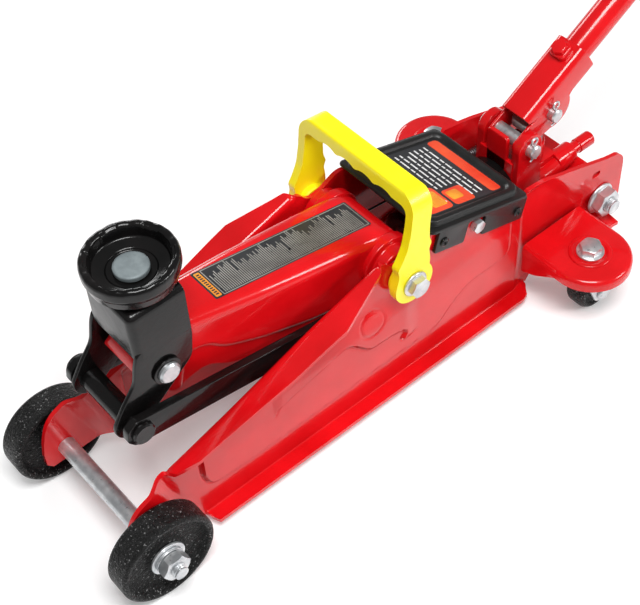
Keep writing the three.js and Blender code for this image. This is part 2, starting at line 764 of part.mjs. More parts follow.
const earFace = WALL + SHEET;
const crossHead = nutY(11, 0, earFace + GAP + 1.8, earFace + GAP + 10.5, CROSS_BOLT.x, CROSS_BOLT.z);
piece(
  'rear_cross_bolt',
  join(
    rodY(CROSS_BOLT.radius, -earFace - 15, earFace + 3, CROSS_BOLT.x, CROSS_BOLT.z),
    rodY(12, earFace + GAP, earFace + GAP + 2, CROSS_BOLT.x, CROSS_BOLT.z),
    crossHead,
  ),
  zinc(),
);
const nutSeat = -earFace - GAP;
piece(
  'rear_nut',
  join(
    nutY(11, CROSS_BOLT.radius + GAP, nutSeat - 10.5, nutSeat - 1.8, CROSS_BOLT.x, CROSS_BOLT.z),
    cut(
      rodY(12, nutSeat - 2, nutSeat, CROSS_BOLT.x, CROSS_BOLT.z),
      rodY(CROSS_BOLT.radius + GAP, -60, 0, CROSS_BOLT.x, CROSS_BOLT.z),
    ),
  ),
  zinc(),
);

// ---------------------------------------------------------------- top cover

// The cover is drawn level about its own middle, then pitched down towards the rear.
function topCover() {
  const { half, outer } = COVER;
  const lid = slabZ(roundedBox(0, 0, 2 * half, 2 * outer, 4, 2), -2.5, 0);
  const length = 2 * half - 6;
  const rim = slabZ(roundedBox(-1, 0, length, 80, 8, 3), -1, 3.8);
  const panel = slabZ(roundedBox(-1, 0, length - 13, 67, 6, 3), 1.6, 10);
  const under = slabZ(roundedBox(-1, 0, length - 6, 74, 6, 3), -10, -0.9);
  const floor = slabZ(roundedBox(-1, 0, length - 4, 76, 6, 3), -1, 1.6);
  const skirt = (low) => box(-36, half - 1, low, low + 2.5, -19, -1);
  const notch = box(-10.6, 5.4, -60, 60, -30, -3);
  const flat = join(cut(join(lid, rim), panel, under), floor);
  const body = join(flat, cut(join(skirt(-outer), skirt(outer - 2.5)), notch));
  const place = new THREE.Matrix4()
    .makeTranslation(COVER.x, 0, COVER.z)
    .multiply(new THREE.Matrix4().makeRotationY(COVER.pitch));
  const pitched = solid(geometryOf(body).applyMatrix4(place));
  return cut(pitched, ...SKIRT_SCREWS.map(([x, z]) => rodY(1.6 + GAP, -60, 60, x, z, SCREW_SIDES)));
}
piece('top_cover', topCover(), blackPlastic());

for (const [index, [x, z]] of SKIRT_SCREWS.entries()) {
  const face = -COVER.outer - GAP;
  const screw = join(
    rodY(1.6, face - 0.5, -39.2, x, z, SCREW_SIDES),
    rodY(3.4, face - 1.2, face, x, z, SMALL_ROUND),
  );
  pair(`cover_screw_${index === 0 ? 'front' : 'rear'}`, screw, black);
}

pair(
  'side_bolt',
  join(
    nutY(4.9, 0, -earFace - GAP - 4.6, -earFace - GAP, SIDE_BOLT.x, SIDE_BOLT.z),
    rodY(SIDE_BOLT.radius, -earFace - 1, -34, SIDE_BOLT.x, SIDE_BOLT.z),
  ),
  zinc,
);

// ---------------------------------------------------------------- handle socket and handle

// Socket coordinates: s along the handle, n square to it in the XZ plane.
const socketFrame = new THREE.Matrix4().makeRotationY(-SOCKET.pitch).setPosition(SOCKET.x, 0, SOCKET.z);
const onSocket = (body) => solid(geometryOf(body).applyMatrix4(socketFrame));
function socketPoint({ x, z }) {
  const point = new THREE.Vector3(x, 0, z).applyMatrix4(socketFrame.clone().invert());
  return [point.x, point.z];
}

function handleSocket() {
  const { size, corner, wall, length } = SOCKET;
  const tube = slabX(roundedBox(0, 0, size, size, corner, 3), 0, length);
  const inside = size - 2 * wall;
  const bore = slabX(roundedBox(0, 0, inside, inside, corner - wall, 3), -5, length + 5);
  const [pinS, pinN] = socketPoint(SOCKET_PIN);
  const [rollS, rollN] = socketPoint(ROLLER_PIN);
  const cheekOutline = [
    ...arc(pinS, pinN, 8.5, 120, 250, 4),
    ...arc(rollS + 3, rollN - 1, 14.5, 230, 350, 4),
    [length - 14, -size / 2 + 6],
    [8, 4],
  ];
  const cheek = slabY(cheekOutline, -size / 2, -size / 2 + wall);
  const mouth = box(-10, 27, -size / 2 + wall, size / 2 - wall, -size, 6);
  const nut = slabZ(roundedBox(51, 0, 12, 12, 3, 2), size / 2 - 1, size / 2 + 5);
  return cut(
    onSocket(
      cut(join(cut(tube, bore, mouth), cheek, flip(cheek), nut), rodZ(3 + GAP, size / 2 - 4, 30, 51, 0)),
    ),
    rodY(SOCKET_PIN.radius + GAP, -60, 60, SOCKET_PIN.x, SOCKET_PIN.z),
    rodY(ROLLER_PIN.radius + GAP, -60, 60, ROLLER_PIN.x, ROLLER_PIN.z),
  );
}
piece('handle_socket', handleSocket(), red());

piece(
  'socket_clamp_bolt',
  onSocket(
    join(
      rodZ(3, SOCKET.size / 2 - SOCKET.wall + GAP, SOCKET.size / 2 + 6, 51, 0),
      rodZ(5.6, SOCKET.size / 2 + 5 + GAP, SOCKET.size / 2 + 9, 51, 0, 6),
    ),
  ),
  red(),
);

// Each socket pin has a head on the right and a cotter through it on the left.
function socketPin({ x, z, radius }, reach, headFace) {
  const shank = rodY(radius, -reach, headFace + 1, x, z);
  const head = rodY(radius + 2.4, headFace, headFace + 2.5, x, z);
  return cut(join(shank, head), rodZ(1.1 + GAP, z - 20, z + 20, x, -reach + 2.6, SCREW_SIDES));
}
const cotterPin = ({ x, z, radius }, reach) =>
  join(
    rodZ(1.1, z - radius - 3, z + radius + 3, x, -reach + 2.6, SCREW_SIDES),
    rodY(2.4, -reach + 1.2, -reach + 4, x, z + radius + 3.6, SCREW_SIDES),
  );
const PIVOT_REACH = 25;
const ROLLER_REACH = 18;
piece('socket_pivot_pin', socketPin(SOCKET_PIN, PIVOT_REACH, 19.5 + GAP), zinc());
piece('socket_pivot_cotter', cotterPin(SOCKET_PIN, PIVOT_REACH), zinc());
piece('roller_pin', socketPin(ROLLER_PIN, ROLLER_REACH, SOCKET.size / 2 + GAP), zinc());
piece('roller_pin_cotter', cotterPin(ROLLER_PIN, ROLLER_REACH), zinc());

piece(
  'handle_tube',
  onSocket(
    turnedX(
      [
        [HANDLE.radius - HANDLE.wall, HANDLE.start], [HANDLE.radius, HANDLE.start],
        [HANDLE.radius, HANDLE.end - 1.5], [HANDLE.radius - 1.5, HANDLE.end],
        [HANDLE.radius - HANDLE.wall - 0.8, HANDLE.end], [HANDLE.radius - HANDLE.wall, HANDLE.start],
      ],
      0,
      0,
    ),
  ),
  red(),
);

// ---------------------------------------------------------------- carrying bail

// The bail stands on the ends of the main pivot: two legs with round feet, and a grip bar across the top.
function carryBail() {
  const { inner, outer, reach, bar, half, foot, corner } = BAIL;
  const leg = [
    ...arc(0, 0, foot, 40, -190, 8), [-13.6, 13], [-15.4, 17.5], [-12.6, 22.5], [-9, 32], [-half, 45],
    [-half, reach], [half, reach], [half, 45], [8.6, 33], [11.2, 28], [9.4, 24],
  ];
  const low = -40;
  const corners = slabX(
    [
      [-outer, low], ...arc(corner - outer, reach - corner, corner, 180, 90, 3),
      ...arc(outer - corner, reach - corner, corner, 90, 0, 3), [outer, low],
    ],
    -60,
    60,
  );
  const dips = [-1.5, -0.5, 0.5, 1.5].flatMap((step) => arc(step * 17, bar - 13.3, 15.4, 119, 61, 3));
  const window = slabX(
    [
      [-inner, low], [-inner, bar - 7], [2 - inner, bar - 2], [7 - inner, bar], ...dips, [inner - 7, bar],
      [inner - 2, bar - 2], [inner, bar - 7], [inner, low],
    ],
    -60,
    60,
  );
  const frame = slabY(leg, -outer, outer).intersect(corners).subtract(window);
  const boss = rodY(13, -inner - 1, -(WALL + SHEET) - GAP, 0, 0, ROUND);
  const bail = cut(join(frame, boss, flip(boss)), rodY(4 + GAP, -80, 80, 0, 0));
  const lean = new THREE.Matrix4()
    .makeTranslation(PIVOT.x, 0, PIVOT.z)
    .multiply(new THREE.Matrix4().makeRotationY(THREE.MathUtils.degToRad(BAIL.lean)));
  return solid(geometryOf(bail).applyMatrix4(lean));
}
piece('carry_handle', carryBail(), yellow());

const boltFace = -BAIL.outer - GAP;
pair(
  'carry_bolt',
  join(
    rodY(4, boltFace - 1, -WALL + 3, PIVOT.x, PIVOT.z),
    rodY(9, boltFace - 1.6, boltFace, PIVOT.x, PIVOT.z),
    nutY(7.5, 0, boltFace - 6.6, boltFace - 1.4, PIVOT.x, PIVOT.z),
  ),
  zinc,
);

// ---------------------------------------------------------------- origin at the middle of the footprint

const extent = new THREE.Box3().setFromObject(jack);
jack.position.set(-(extent.min.x + extent.max.x) / 2, -(extent.min.y + extent.max.y) / 2, -extent.min.z);
jack.updateMatrixWorld(true);

export default jack;
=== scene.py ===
import math

import bmesh
import bpy
import numpy as np
from mathutils import Matrix, Vector


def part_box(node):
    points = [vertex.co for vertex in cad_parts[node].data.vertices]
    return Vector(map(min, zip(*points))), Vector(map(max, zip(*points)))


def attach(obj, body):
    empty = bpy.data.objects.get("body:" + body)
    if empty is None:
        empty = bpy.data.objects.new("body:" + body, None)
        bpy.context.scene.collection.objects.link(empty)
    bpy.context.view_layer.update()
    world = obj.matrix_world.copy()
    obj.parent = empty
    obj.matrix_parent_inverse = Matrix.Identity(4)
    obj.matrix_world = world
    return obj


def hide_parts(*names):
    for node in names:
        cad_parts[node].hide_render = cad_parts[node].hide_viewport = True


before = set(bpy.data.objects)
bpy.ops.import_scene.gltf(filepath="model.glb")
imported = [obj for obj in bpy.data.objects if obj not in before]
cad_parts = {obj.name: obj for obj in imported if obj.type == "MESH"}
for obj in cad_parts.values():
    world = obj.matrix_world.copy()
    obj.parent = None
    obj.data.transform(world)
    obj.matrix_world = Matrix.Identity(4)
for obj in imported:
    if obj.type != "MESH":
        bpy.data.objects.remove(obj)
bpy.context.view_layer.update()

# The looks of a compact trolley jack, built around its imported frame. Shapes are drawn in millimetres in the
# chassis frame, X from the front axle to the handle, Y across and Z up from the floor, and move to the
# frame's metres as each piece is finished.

MM = 0.001
AXLE_LOW, AXLE_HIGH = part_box("front_axle")
TO_FRAME = Matrix.Translation(((AXLE_LOW.x + AXLE_HIGH.x) / 2, 0, 0)) @ Matrix.Scale(MM, 4)

# ------ driving sizes, millimetres

SHEET = 3.0
WALL = 38.5  # inner face of a side plate
AXLE = Vector((0, 0, 33))
PIVOT = Vector((209, 0, 107))
ARM_PIN = Vector((46, 0, 134.5))
LINK_PIN = Vector((18.5, 0, 109.5))
LINK_STUD = LINK_PIN + PIVOT - ARM_PIN
SADDLE = Vector((50, 0, 0))  # the vertical line through the saddle
BRACKET_TOP = 189.0
SADDLE_TOP = 208.4
RIVET_TOP = 201.0
CASTER = Vector((348, -76.5, 0))  # the line a left caster swivels about
ROLLER = Vector((353, -76.5, 17))
CROSS_BOLT = Vector((396, 0, 46))
SIDE_BOLT = Vector((271.5, 0, 107))
COVER_SCREWS = {"front": Vector((241.5, 0, 114)), "rear": Vector((307.5, 0, 95))}
COVER = Vector((274.6, 0, 116))
COVER_PITCH = math.radians(16.2)
SOCKET = Vector((352.7, 0, 117.7))
SOCKET_PITCH = math.radians(31)
SOCKET_PIN = Vector((344.2, 0, 109.9))
ROLLER_PIN = Vector((370.7, 0, 121))
PIN_RADIUS = 5.0
BAIL_LEAN = math.radians(6.5)
UNIT = Vector((0, 0, 70))  # the line of the ram and the reservoir
PLUNGER = Vector((364, 0, 0))
VALVE = Vector((0, -10, 68))

X_AXIS = Vector((1, 0, 0))
Y_AXIS = Vector((0, 1, 0))
Z_AXIS = Vector((0, 0, 1))

# Local outline planes: the outline's (a, b) become (x, z), (x, y) or (y, z).
XZ = Matrix(((1, 0, 0, 0), (0, 0, -1, 0), (0, 1, 0, 0), (0, 0, 0, 1)))
XY = Matrix.Identity(4)
YZ = Matrix(((0, 0, 1, 0), (1, 0, 0, 0), (0, 1, 0, 0), (0, 0, 0, 1)))
COVER_FRAME = Matrix.Translation(COVER) @ Matrix.Rotation(COVER_PITCH, 4, "Y")
SOCKET_FRAME = Matrix.Translation(SOCKET) @ Matrix.Rotation(-SOCKET_PITCH, 4, "Y")
BAIL_FRAME = Matrix.Translation(PIVOT) @ Matrix.Rotation(BAIL_LEAN, 4, "Y")
MIRROR_Y = Matrix.Scale(-1, 4, Y_AXIS)

# ------ materials


def add_node(tree, kind, **inputs):
    node = tree.nodes.new(kind)
    for name, value in inputs.items():
        node.inputs[name.replace("_", " ")].default_value = value
    return node


def noise(tree, coords, scale, detail):
    node = add_node(tree, "ShaderNodeTexNoise", Scale=scale, Detail=detail)
    tree.links.new(coords.outputs["Object"], node.inputs["Vector"])
    return node


def ramp(tree, source, low, high, first, last):
    node = tree.nodes.new("ShaderNodeValToRGB")
    for element, position, colour in zip(node.color_ramp.elements, (low, high), (first, last)):
        element.position = position
        element.color = colour
    tree.links.new(source, node.inputs["Fac"])
    return node.outputs["Color"]


def grey(value):
    return (value, value, value, 1.0)


def surface(name, dark, light, mottle, rough, grain, metallic=0.0, coat=0.0, specular=0.5):
    """A material whose colour runs from dark to light over blotches of scale mottle.

    rough is (lowest, highest) roughness, and grain is a list of (scale, strength, height in metres)."""
    material = bpy.data.materials.new(name)
    material.use_nodes = True
    tree = material.node_tree
    shader = tree.nodes["Principled BSDF"]
    coords = tree.nodes.new("ShaderNodeTexCoord")
    blotches = noise(tree, coords, mottle, 4.0)
    colour = ramp(tree, blotches.outputs["Fac"], 0.35, 0.68, (*dark, 1), (*light, 1))
    tree.links.new(colour, shader.inputs["Base Color"])
    smears = noise(tree, coords, mottle * 2.7, 5.0)
    roughness = ramp(tree, smears.outputs["Fac"], 0.3, 0.7, grey(rough[0]), grey(rough[1]))
    tree.links.new(roughness, shader.inputs["Roughness"])
    normal = None
    for scale, strength, height in grain:
        texture = noise(tree, coords, scale, 2.0)
        bump = add_node(tree, "ShaderNodeBump", Strength=strength, Distance=height)
        tree.links.new(texture.outputs["Fac"], bump.inputs["Height"])
        if normal:
            tree.links.new(normal, bump.inputs["Normal"])
        normal = bump.outputs["Normal"]
    tree.links.new(normal, shader.inputs["Normal"])
    gloss = {
        "Metallic": metallic, "Coat Weight": coat, "Coat Roughness": 0.05, "Specular IOR Level": specular}
    for socket, value in gloss.items():
        shader.inputs[socket].default_value = value
    return material


def paint_glint_flecks(material, scale, colour):
    """Scatter small bright flecks of painted glint, standing in for the sparkle of light on a rough casting
    under paint.
    """
    tree = material.node_tree
    shader = tree.nodes["Principled BSDF"]
    coords = tree.nodes["Texture Coordinate"]
    under = shader.inputs["Base Color"].links[0].from_socket
    flecks = noise(tree, coords, scale, 1.0)
    amount = ramp(tree, flecks.outputs["Fac"], 0.66, 0.72, grey(0.0), grey(1.0))
    mix = tree.nodes.new("ShaderNodeMix")
    mix.data_type = "RGBA"
    tree.links.new(amount, mix.inputs["Factor"])
    tree.links.new(under, mix.inputs["A"])
    mix.inputs["B"].default_value = (*colour, 1)
    tree.links.new(mix.outputs["Result"], shader.inputs["Base Color"])


PAINT_PEEL = [(420, 0.25, 0.0002), (60, 0.15, 0.0008)]
BLACK_PEEL = [(500, 0.3, 0.0003), (90, 0.25, 0.0008)]
CAST_GRAIN = [(620, 1.0, 0.0014), (1500, 0.8, 0.0006)]
FINE_GRAIN = [(900, 0.3, 0.0002)]
YELLOW_GRAIN = [(700, 0.15, 0.0002), (50, 0.15, 0.0006)]

# Dark and light colour, blotch scale, roughness, grain, then metallic, coat and specular.
FINISHES = {
    "red_paint": ((0.56, 0.003, 0.005), (0.70, 0.005, 0.009), 22, (0.14, 0.24), PAINT_PEEL, 0, 0.4, 0.25),
    "black_paint": (
        (0.003, 0.003, 0.003), (0.007, 0.006, 0.006), 40, (0.14, 0.26), BLACK_PEEL, 0, 0.15, 0.25),
    "cast_wheel": ((0.002, 0.002, 0.002), (0.010, 0.010, 0.010), 260, (0.22, 0.6), CAST_GRAIN, 0, 0, 0.2),
    "zinc": ((0.50, 0.52, 0.54), (0.72, 0.73, 0.74), 130, (0.26, 0.46), FINE_GRAIN, 0.8),
    "rivet_steel": ((0.17, 0.20, 0.21), (0.24, 0.28, 0.29), 160, (0.5, 0.65), FINE_GRAIN, 0.2, 0, 0.3),
    "bare_steel": ((0.25, 0.25, 0.26), (0.42, 0.42, 0.43), 80, (0.3, 0.5), [(700, 0.3, 0.0002)], 1.0),
    "chrome_rod": ((0.68, 0.69, 0.71), (0.74, 0.75, 0.77), 30, (0.06, 0.14), [(900, 0.1, 0.0001)], 1.0),
    "black_plastic": (
        (0.007, 0.007, 0.007), (0.013, 0.013, 0.013), 30, (0.3, 0.45), [(1600, 0.35, 0.0002)], 0, 0, 0.4),
    "yellow_plastic": ((0.92, 0.80, 0.003), (0.98, 0.88, 0.006), 18, (0.28, 0.42), YELLOW_GRAIN, 0, 0.15),
    "spring_steel": ((0.20, 0.20, 0.21), (0.36, 0.36, 0.37), 150, (0.3, 0.5), FINE_GRAIN, 1.0),
}
LOOKS = {name: surface(name, *finish) for name, finish in FINISHES.items()}
# The wheels' bright flecks are painted glints in the base colour.
paint_glint_flecks(LOOKS["cast_wheel"], 800, (0.22, 0.22, 0.22))
INKS = {
    "dark": ((0.020, 0.021, 0.024), (0.030, 0.031, 0.034), 40),
    "grey": ((0.20, 0.19, 0.17), (0.34, 0.33, 0.30), 60),
    "orange": ((0.70, 0.045, 0.018), (0.80, 0.10, 0.03), 40),
    "amber": ((0.70, 0.22, 0.02), (0.80, 0.36, 0.03), 90),
    "white": ((0.62, 0.62, 0.62), (0.75, 0.75, 0.75), 40),
}
for ink, colours in INKS.items():
    LOOKS[f"label_{ink}"] = surface(f"label_{ink}", *colours, (0.25, 0.38), [(900, 0.2, 0.0001)])

# ------ outlines


def arc(centre_a, centre_b, radius, start, end, steps=12):
    turn = [math.radians(start + (end - start) * i / steps) for i in range(steps + 1)]
    return [(centre_a + radius * math.cos(t), centre_b + radius * math.sin(t)) for t in turn]


def rounded(points, radius, steps=5, closed=True):
    """The line through the points with each corner rounded by up to radius."""
    count = len(points)
    line = []
    for i, corner in enumerate(points):
        if not closed and i in (0, count - 1):
            line.append(tuple(corner))
            continue
        here = Vector(corner)
        before = Vector(points[i - 1]) - here
        after = Vector(points[(i + 1) % count]) - here
        reach = min(radius, 0.48 * before.length, 0.48 * after.length)
        start = here + before.normalized() * reach
        end = here + after.normalized() * reach
        for k in range(steps + 1):
            t = k / steps
            line.append(tuple((1 - t) ** 2 * start + 2 * t * (1 - t) * here + t * t * end))
    return line


def rectangle(centre_a, centre_b, width, height, corner, steps=6):
    w, h = width / 2 - corner, height / 2 - corner
    loop = []
    for a, b, start in ((w, h, 0), (-w, h, 90), (-w, -h, 180), (w, -h, 270)):
        loop += arc(centre_a + a, centre_b + b, corner, start, start + 90, steps)
    return loop


def along(table, x):
    """Straight-line lookup in a list of (x, value)."""
    if x <= table[0][0]:
        return table[0][1]
    for (x0, v0), (x1, v1) in zip(table, table[1:]):
        if x <= x1:
            return v0 if x1 == x0 else v0 + (v1 - v0) * (x - x0) / (x1 - x0)
    return table[-1][1]


def smooth(t):
    """0 up to t = 0 and 1 from t = 1, with an even curve between them."""
    t = np.clip(t, 0.0, 1.0)
    return t * t * (3 - 2 * t)


def rise(value, start, run):
    """0 before start and 1 after start + run; with a negative run it falls instead."""
    return smooth((value - start) / run)


def edge_distance(loop, a, b):
    """Distance from points to a closed outline, positive inside it."""
    a, b = np.broadcast_arrays(a, b)
    best = np.full(a.shape, 1e9)
    inside = np.zeros(a.shape, dtype=bool)
    for (a0, b0), (a1, b1) in zip(loop, loop[1:] + loop[:1]):
        da, db = a1 - a0, b1 - b0
        t = np.clip(((a - a0) * da + (b - b0) * db) / (da * da + db * db), 0, 1)
        best = np.minimum(best, np.hypot(a - a0 - t * da, b - b0 - t * db))
        if db:
            inside = inside ^ (((b0 > b) != (b1 > b)) & (a < a0 + (b - b0) * da / db))
    return np.where(inside, best, -best)


# ------ shells in millimetres

HEXAGON_STEPS = 72


def tidy(bm):
    bmesh.ops.remove_doubles(bm, verts=bm.verts, dist=1e-4)
    bmesh.ops.dissolve_degenerate(bm, edges=bm.edges, dist=1e-4)
    bmesh.ops.recalc_face_normals(bm, faces=bm.faces)
    return bm


def grid_shell(rows, close_rows=False, close_columns=False, capped=False):
    """Quads over a grid of points, which may join up in either direction or have its ends capped."""
    bm = bmesh.new()
    verts = [[bm.verts.new(p) for p in row] for row in rows]
    row_count, column_count = len(rows), len(rows[0])
    for i in range(row_count - (0 if close_rows else 1)):
        for j in range(column_count - (0 if close_columns else 1)):
            next_i, next_j = (i + 1) % row_count, (j + 1) % column_count
            bm.faces.new((verts[i][j], verts[i][next_j], verts[next_i][next_j], verts[next_i][j]))
    if capped:
        bm.faces.new(verts[0])
        bm.faces.new(list(reversed(verts[-1])))
    return tidy(bm)


def loft(loops):
    """Closed loops of equal length joined one to the next, with both ends capped."""
    return grid_shell(loops, close_columns=True, capped=True)


def lathe(profile, axis, centre, segments=64, closed=False):
    """(radius, height) points turned about an axis through centre."""
    turn = Z_AXIS.rotation_difference(axis).to_matrix()
    rows = []
    for r, h in profile:
        row = []
        for i in range(segments):
            angle = math.tau * i / segments
            row.append(centre + turn @ Vector((r * math.cos(angle), r * math.sin(angle), h)))
        rows.append(row)
    return grid_shell(rows, close_rows=closed, close_columns=True)


def rod(radius, low, high, chamfer=0.0):
    """The profile of a plain rod, for lathe, with chamfered ends where asked."""
    if not chamfer:
        return [(0, low), (radius, low), (radius, high), (0, high)]
    inner = radius - chamfer
    return [(0, low), (inner, low), (radius, low + chamfer),
            (radius, high - chamfer), (inner, high), (0, high)]


def collar(inner, outer, low, high):
    """The profile of a plain ring, for a closed lathe."""
    return [(inner, low), (outer, low), (outer, high), (inner, high)]


def both_ends(half):
    """A profile drawn up to its middle and repeated in reverse beyond it."""
    return half + [(r, -h) for r, h in reversed(half)]


def add_object(name, data):
    obj = bpy.data.objects.new(name, data)
    bpy.context.scene.collection.objects.link(obj)
    return obj


def shell_of(obj):
    """The shape of an object as a shell, with its curve or modifiers worked out."""
    bpy.context.view_layer.update()
    mesh = bpy.data.meshes.new_from_object(obj.evaluated_get(bpy.context.evaluated_depsgraph_get()))
    shell = bmesh.new()
    shell.from_mesh(mesh)
    bpy.data.meshes.remove(mesh)
    return shell


def slab(outline, low, high, plane, edge=0.6):
    """A plate of an outline with rounded edges, from low to high across its plane."""
    curve = bpy.data.curves.new("outline", "CURVE")
    curve.dimensions = "2D"
    curve.fill_mode = "BOTH"
    curve.extrude = (high - low) / 2 - edge
    curve.bevel_depth = edge
    curve.bevel_resolution = 2
    curve.offset = -edge
    spline = curve.splines.new("POLY")
    spline.points.add(len(outline) - 1)
    for point, (a, b) in zip(spline.points, outline):
        point.co = (a, b, 0, 1)
    spline.use_cyclic_u = True
    holder = add_object("outline", curve)
    bm = shell_of(holder)
    bpy.data.objects.remove(holder)
    middle = (low + high) / 2
    sign = -1 if plane is XZ else 1
    bmesh.ops.transform(bm, matrix=plane @ Matrix.Translation((0, 0, sign * middle)), verts=bm.verts)
    return tidy(bm)


def cheeks(outline, low, high, edge=0.6):
    """An upright plate at low to high across the jack, and its twin on the other side."""
    return [slab(outline, low, high, XZ, edge), slab(outline, -high, -low, XZ, edge)]


def moved(bm, matrix):
    bmesh.ops.transform(bm, matrix=matrix, verts=bm.verts)
    if matrix.determinant() < 0:
        bmesh.ops.reverse_faces(bm, faces=bm.faces)
    return bm


def hexagon(across, low, high, axis, centre, bore=0.001, chamfer_low=False):
    """A nut or bolt head with turned chamfers; its height runs along the axis."""
    land = across / 2 * 0.95
    slope = math.tan(math.radians(30))
    turn = Z_AXIS.rotation_difference(axis).to_matrix()
    columns = []
    for i in range(HEXAGON_STEPS):
        angle = math.tau * i / HEXAGON_STEPS
        rim = across / 2 / math.cos(angle % (math.pi / 3) - math.pi / 6)
        drop = (rim - land) * slope
        profile = [(bore, low)] + ([(land, low), (rim, low + drop)] if chamfer_low else [(rim, low)])
        profile += [(rim, high - drop), (land, high), (bore, high)]
        a, b = math.cos(angle), math.sin(angle)
        columns.append([centre + turn @ Vector((r * a, r * b, h)) for r, h in profile])
    return grid_shell(list(zip(*columns)), close_rows=True, close_columns=True)


def threads(radius, low, high, pitch=1.25):
    """The (radius, height) points of a threaded stub with a chamfered end."""
    count = int((high - low) / pitch)
    points = [(0, low)]
    for i in range(count):
        start = low + i * pitch
        points += [(radius, start + pitch * 0.1), (radius, start + pitch * 0.3)]
        points.append((radius * 0.88, start + pitch * 0.8))
    return points + [(radius * 0.9, high - 0.3), (radius * 0.78, high), (0, high)]


def coil(start, end, radius, wire, turns, steps=18):
    """A helix of wire between two points."""
    line = end - start
    turn = Z_AXIS.rotation_difference(line).to_matrix()
    total = int(turns * steps)
    path = []
    for i in range(total + 1):
        angle = math.tau * i / steps
        across = Vector((radius * math.cos(angle), radius * math.sin(angle), line.length * i / total))
        path.append(start + turn @ across)
    return wire_along(path, wire)


def wire_along(path, wire, sides=8):
    """Round wire of a radius along a path."""
    loops = []
    side = None
    for i, point in enumerate(path):
        ahead = path[min(i + 1, len(path) - 1)] - path[max(i - 1, 0)]
        ahead.normalize()
        if side is None:
            side = ahead.orthogonal().normalized()
        side = (side - ahead * side.dot(ahead)).normalized()
        other = ahead.cross(side)
        ring = []
        for k in range(sides):
            angle = math.tau * k / sides
            ring.append(point + wire * (side * math.cos(angle) + other * math.sin(angle)))
        loops.append(ring)
    return loft(loops)


def carve(base, tool, operation):
    """The base shell cut, joined or crossed with the tool shell."""
    objects = []
    for shell in (base, tool):
        mesh = bpy.data.meshes.new("carve")
        shell.to_mesh(mesh)
        shell.free()
        objects.append(add_object("carve", mesh))
    cutter = objects[0].modifiers.new("cut", "BOOLEAN")
    cutter.operation = operation
    cutter.object = objects[1]
    cutter.solver = "EXACT"
    result = shell_of(objects[0])
    for holder in objects:
        bpy.data.objects.remove(holder)
    return result


def block(x0, x1, y0, y1, z0, z1):
    shell = bmesh.new()
    bmesh.ops.create_cube(shell, size=1)
    low, high = Vector((x0, y0, z0)), Vector((x1, y1, z1))
    for v in shell.verts:
        v.co = Vector([lo + (hi - lo) * (c + 0.5) for lo, hi, c in zip(low, high, v.co)])
    return shell


# ------ finished pieces


def dress(obj, look, soften):
    obj.data.materials.clear()
    obj.data.materials.append(LOOKS[look])
    for polygon in obj.data.polygons:
        polygon.use_smooth = True
    obj.data.set_sharp_from_angle(angle=math.radians(38))
    if soften:
        edge = obj.modifiers.new("edge", "BEVEL")
        edge.width = soften * MM
        edge.segments = 3
        edge.limit_method = "ANGLE"
        edge.angle_limit = math.radians(50)
        edge.harden_normals = True


def piece(name, body, look, shells, nodes=(), soften=0.0, thickness=0.0):
    """One object made of shells; it rides on a body and stands for CAD nodes."""
    whole = bmesh.new()
    scratch = bpy.data.meshes.new("scratch")
    for shell in shells:
        shell.to_mesh(scratch)
        whole.from_mesh(scratch)
        shell.free()
    bpy.data.meshes.remove(scratch)
    bmesh.ops.transform(whole, matrix=TO_FRAME, verts=whole.verts)
    mesh = bpy.data.meshes.new(name)
    whole.to_mesh(mesh)
    whole.free()
    obj = add_object(name, mesh)
    if thickness:
        sheet = obj.modifiers.new("sheet", "SOLIDIFY")
        sheet.thickness = thickness * MM
        sheet.offset = 0
        sheet.use_even_offset = True
    dress(obj, look, soften)
    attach(obj, body)
    if nodes:
        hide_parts(*nodes)


def both_sides(name, bodies, look, build):
    """A left piece and its mirror image; build() gives the left one's shells."""
    for side, body in zip(("left", "right"), bodies):
        shells = build() if side == "left" else [moved(shell, MIRROR_Y) for shell in build()]
        piece(f"{name}_{side}_look", body, look, shells, [f"{name}_{side}"])


CHASSIS = ("chassis", "chassis")

# ------ side plates

TAIL_ARC = (405, 66, 13)  # centre and radius of the plate's round end
TOP_LINE = rounded(
    [(-15.8, 35), (-13.8, 46), (-9.5, 58.2), (-3.4, 65.2), (6.6, 69.5), (18, 72.5), (39, 79),
     (68.6, 88.5), (99, 99), (136, 112), (179, 125), (189.5, 128.5), (194.5, 126), (202, 117.5),
     (212, 119.5), (226, 126.5), (319, 99.5), (320.5, 103), (337, 100.5), (362, 93), (381, 86.6),
     (399, 80.5)],
    5, closed=False,
) + arc(*TAIL_ARC, 68, 0, 14)
BOTTOM_LINE = [
    (-15.8, 25), (-12, 20.5), (33, 21.5), (41.5, 7), (328, 7), (333, 14), (333.4, 28), (402, 28),
    (417, 32), (418, 36)]
TOP_FLANGE = [(20, 0), (26, 5), (40, 10), (73, 12.5), (110, 16), (149, 17.5), (187, 5), (191, 2), (193, 0)]
BOTTOM_FLANGE = [(41.5, 0), (46, 10.5), (318, 10.5), (328, 0), (374, 0), (379, 18.5), (400, 18.5), (402, 0)]
FOLD = 2.6
NOSE_FLARE = 6.0
FLARE_RUN = 14.0
CREASE_FOOT = (40.5, 8)
CREASE_TOP = (20.7, 67)
EAR_CREASE = ((337.6, 91.4), (373.5, 54.4))
LOWER_PANEL = rounded(
    [(46, 240), (46, 47), (50, 35.5), (80, 33.5), (239, 34), (251, 46), (266, 55.5), (304, 56),
     (304, 240)], 7)
LOWER_STEP = 2.0
UPPER_PANEL = rounded(
    [(101, 240), (101, 57), (104, 65), (113, 67.5), (131, 71.5), (147, 75.5), (159, 78.8), (166.5, 73.6),
     (178, 60.5), (196, 60), (207, 57), (211, 52), (205, 47), (240, 47), (240, 240)], 5)
UPPER_STEP = 1.8
STEP_RUN = 1.7
CREASE_DEPTH = 1.3
CREASE_RUN = 1.5
EAR_DROP = 2.3
EAR_RUN = 13.0
STUD_RING = 9.6
STUD_GROOVE = 0.9
GROOVE_RUN = 1.6
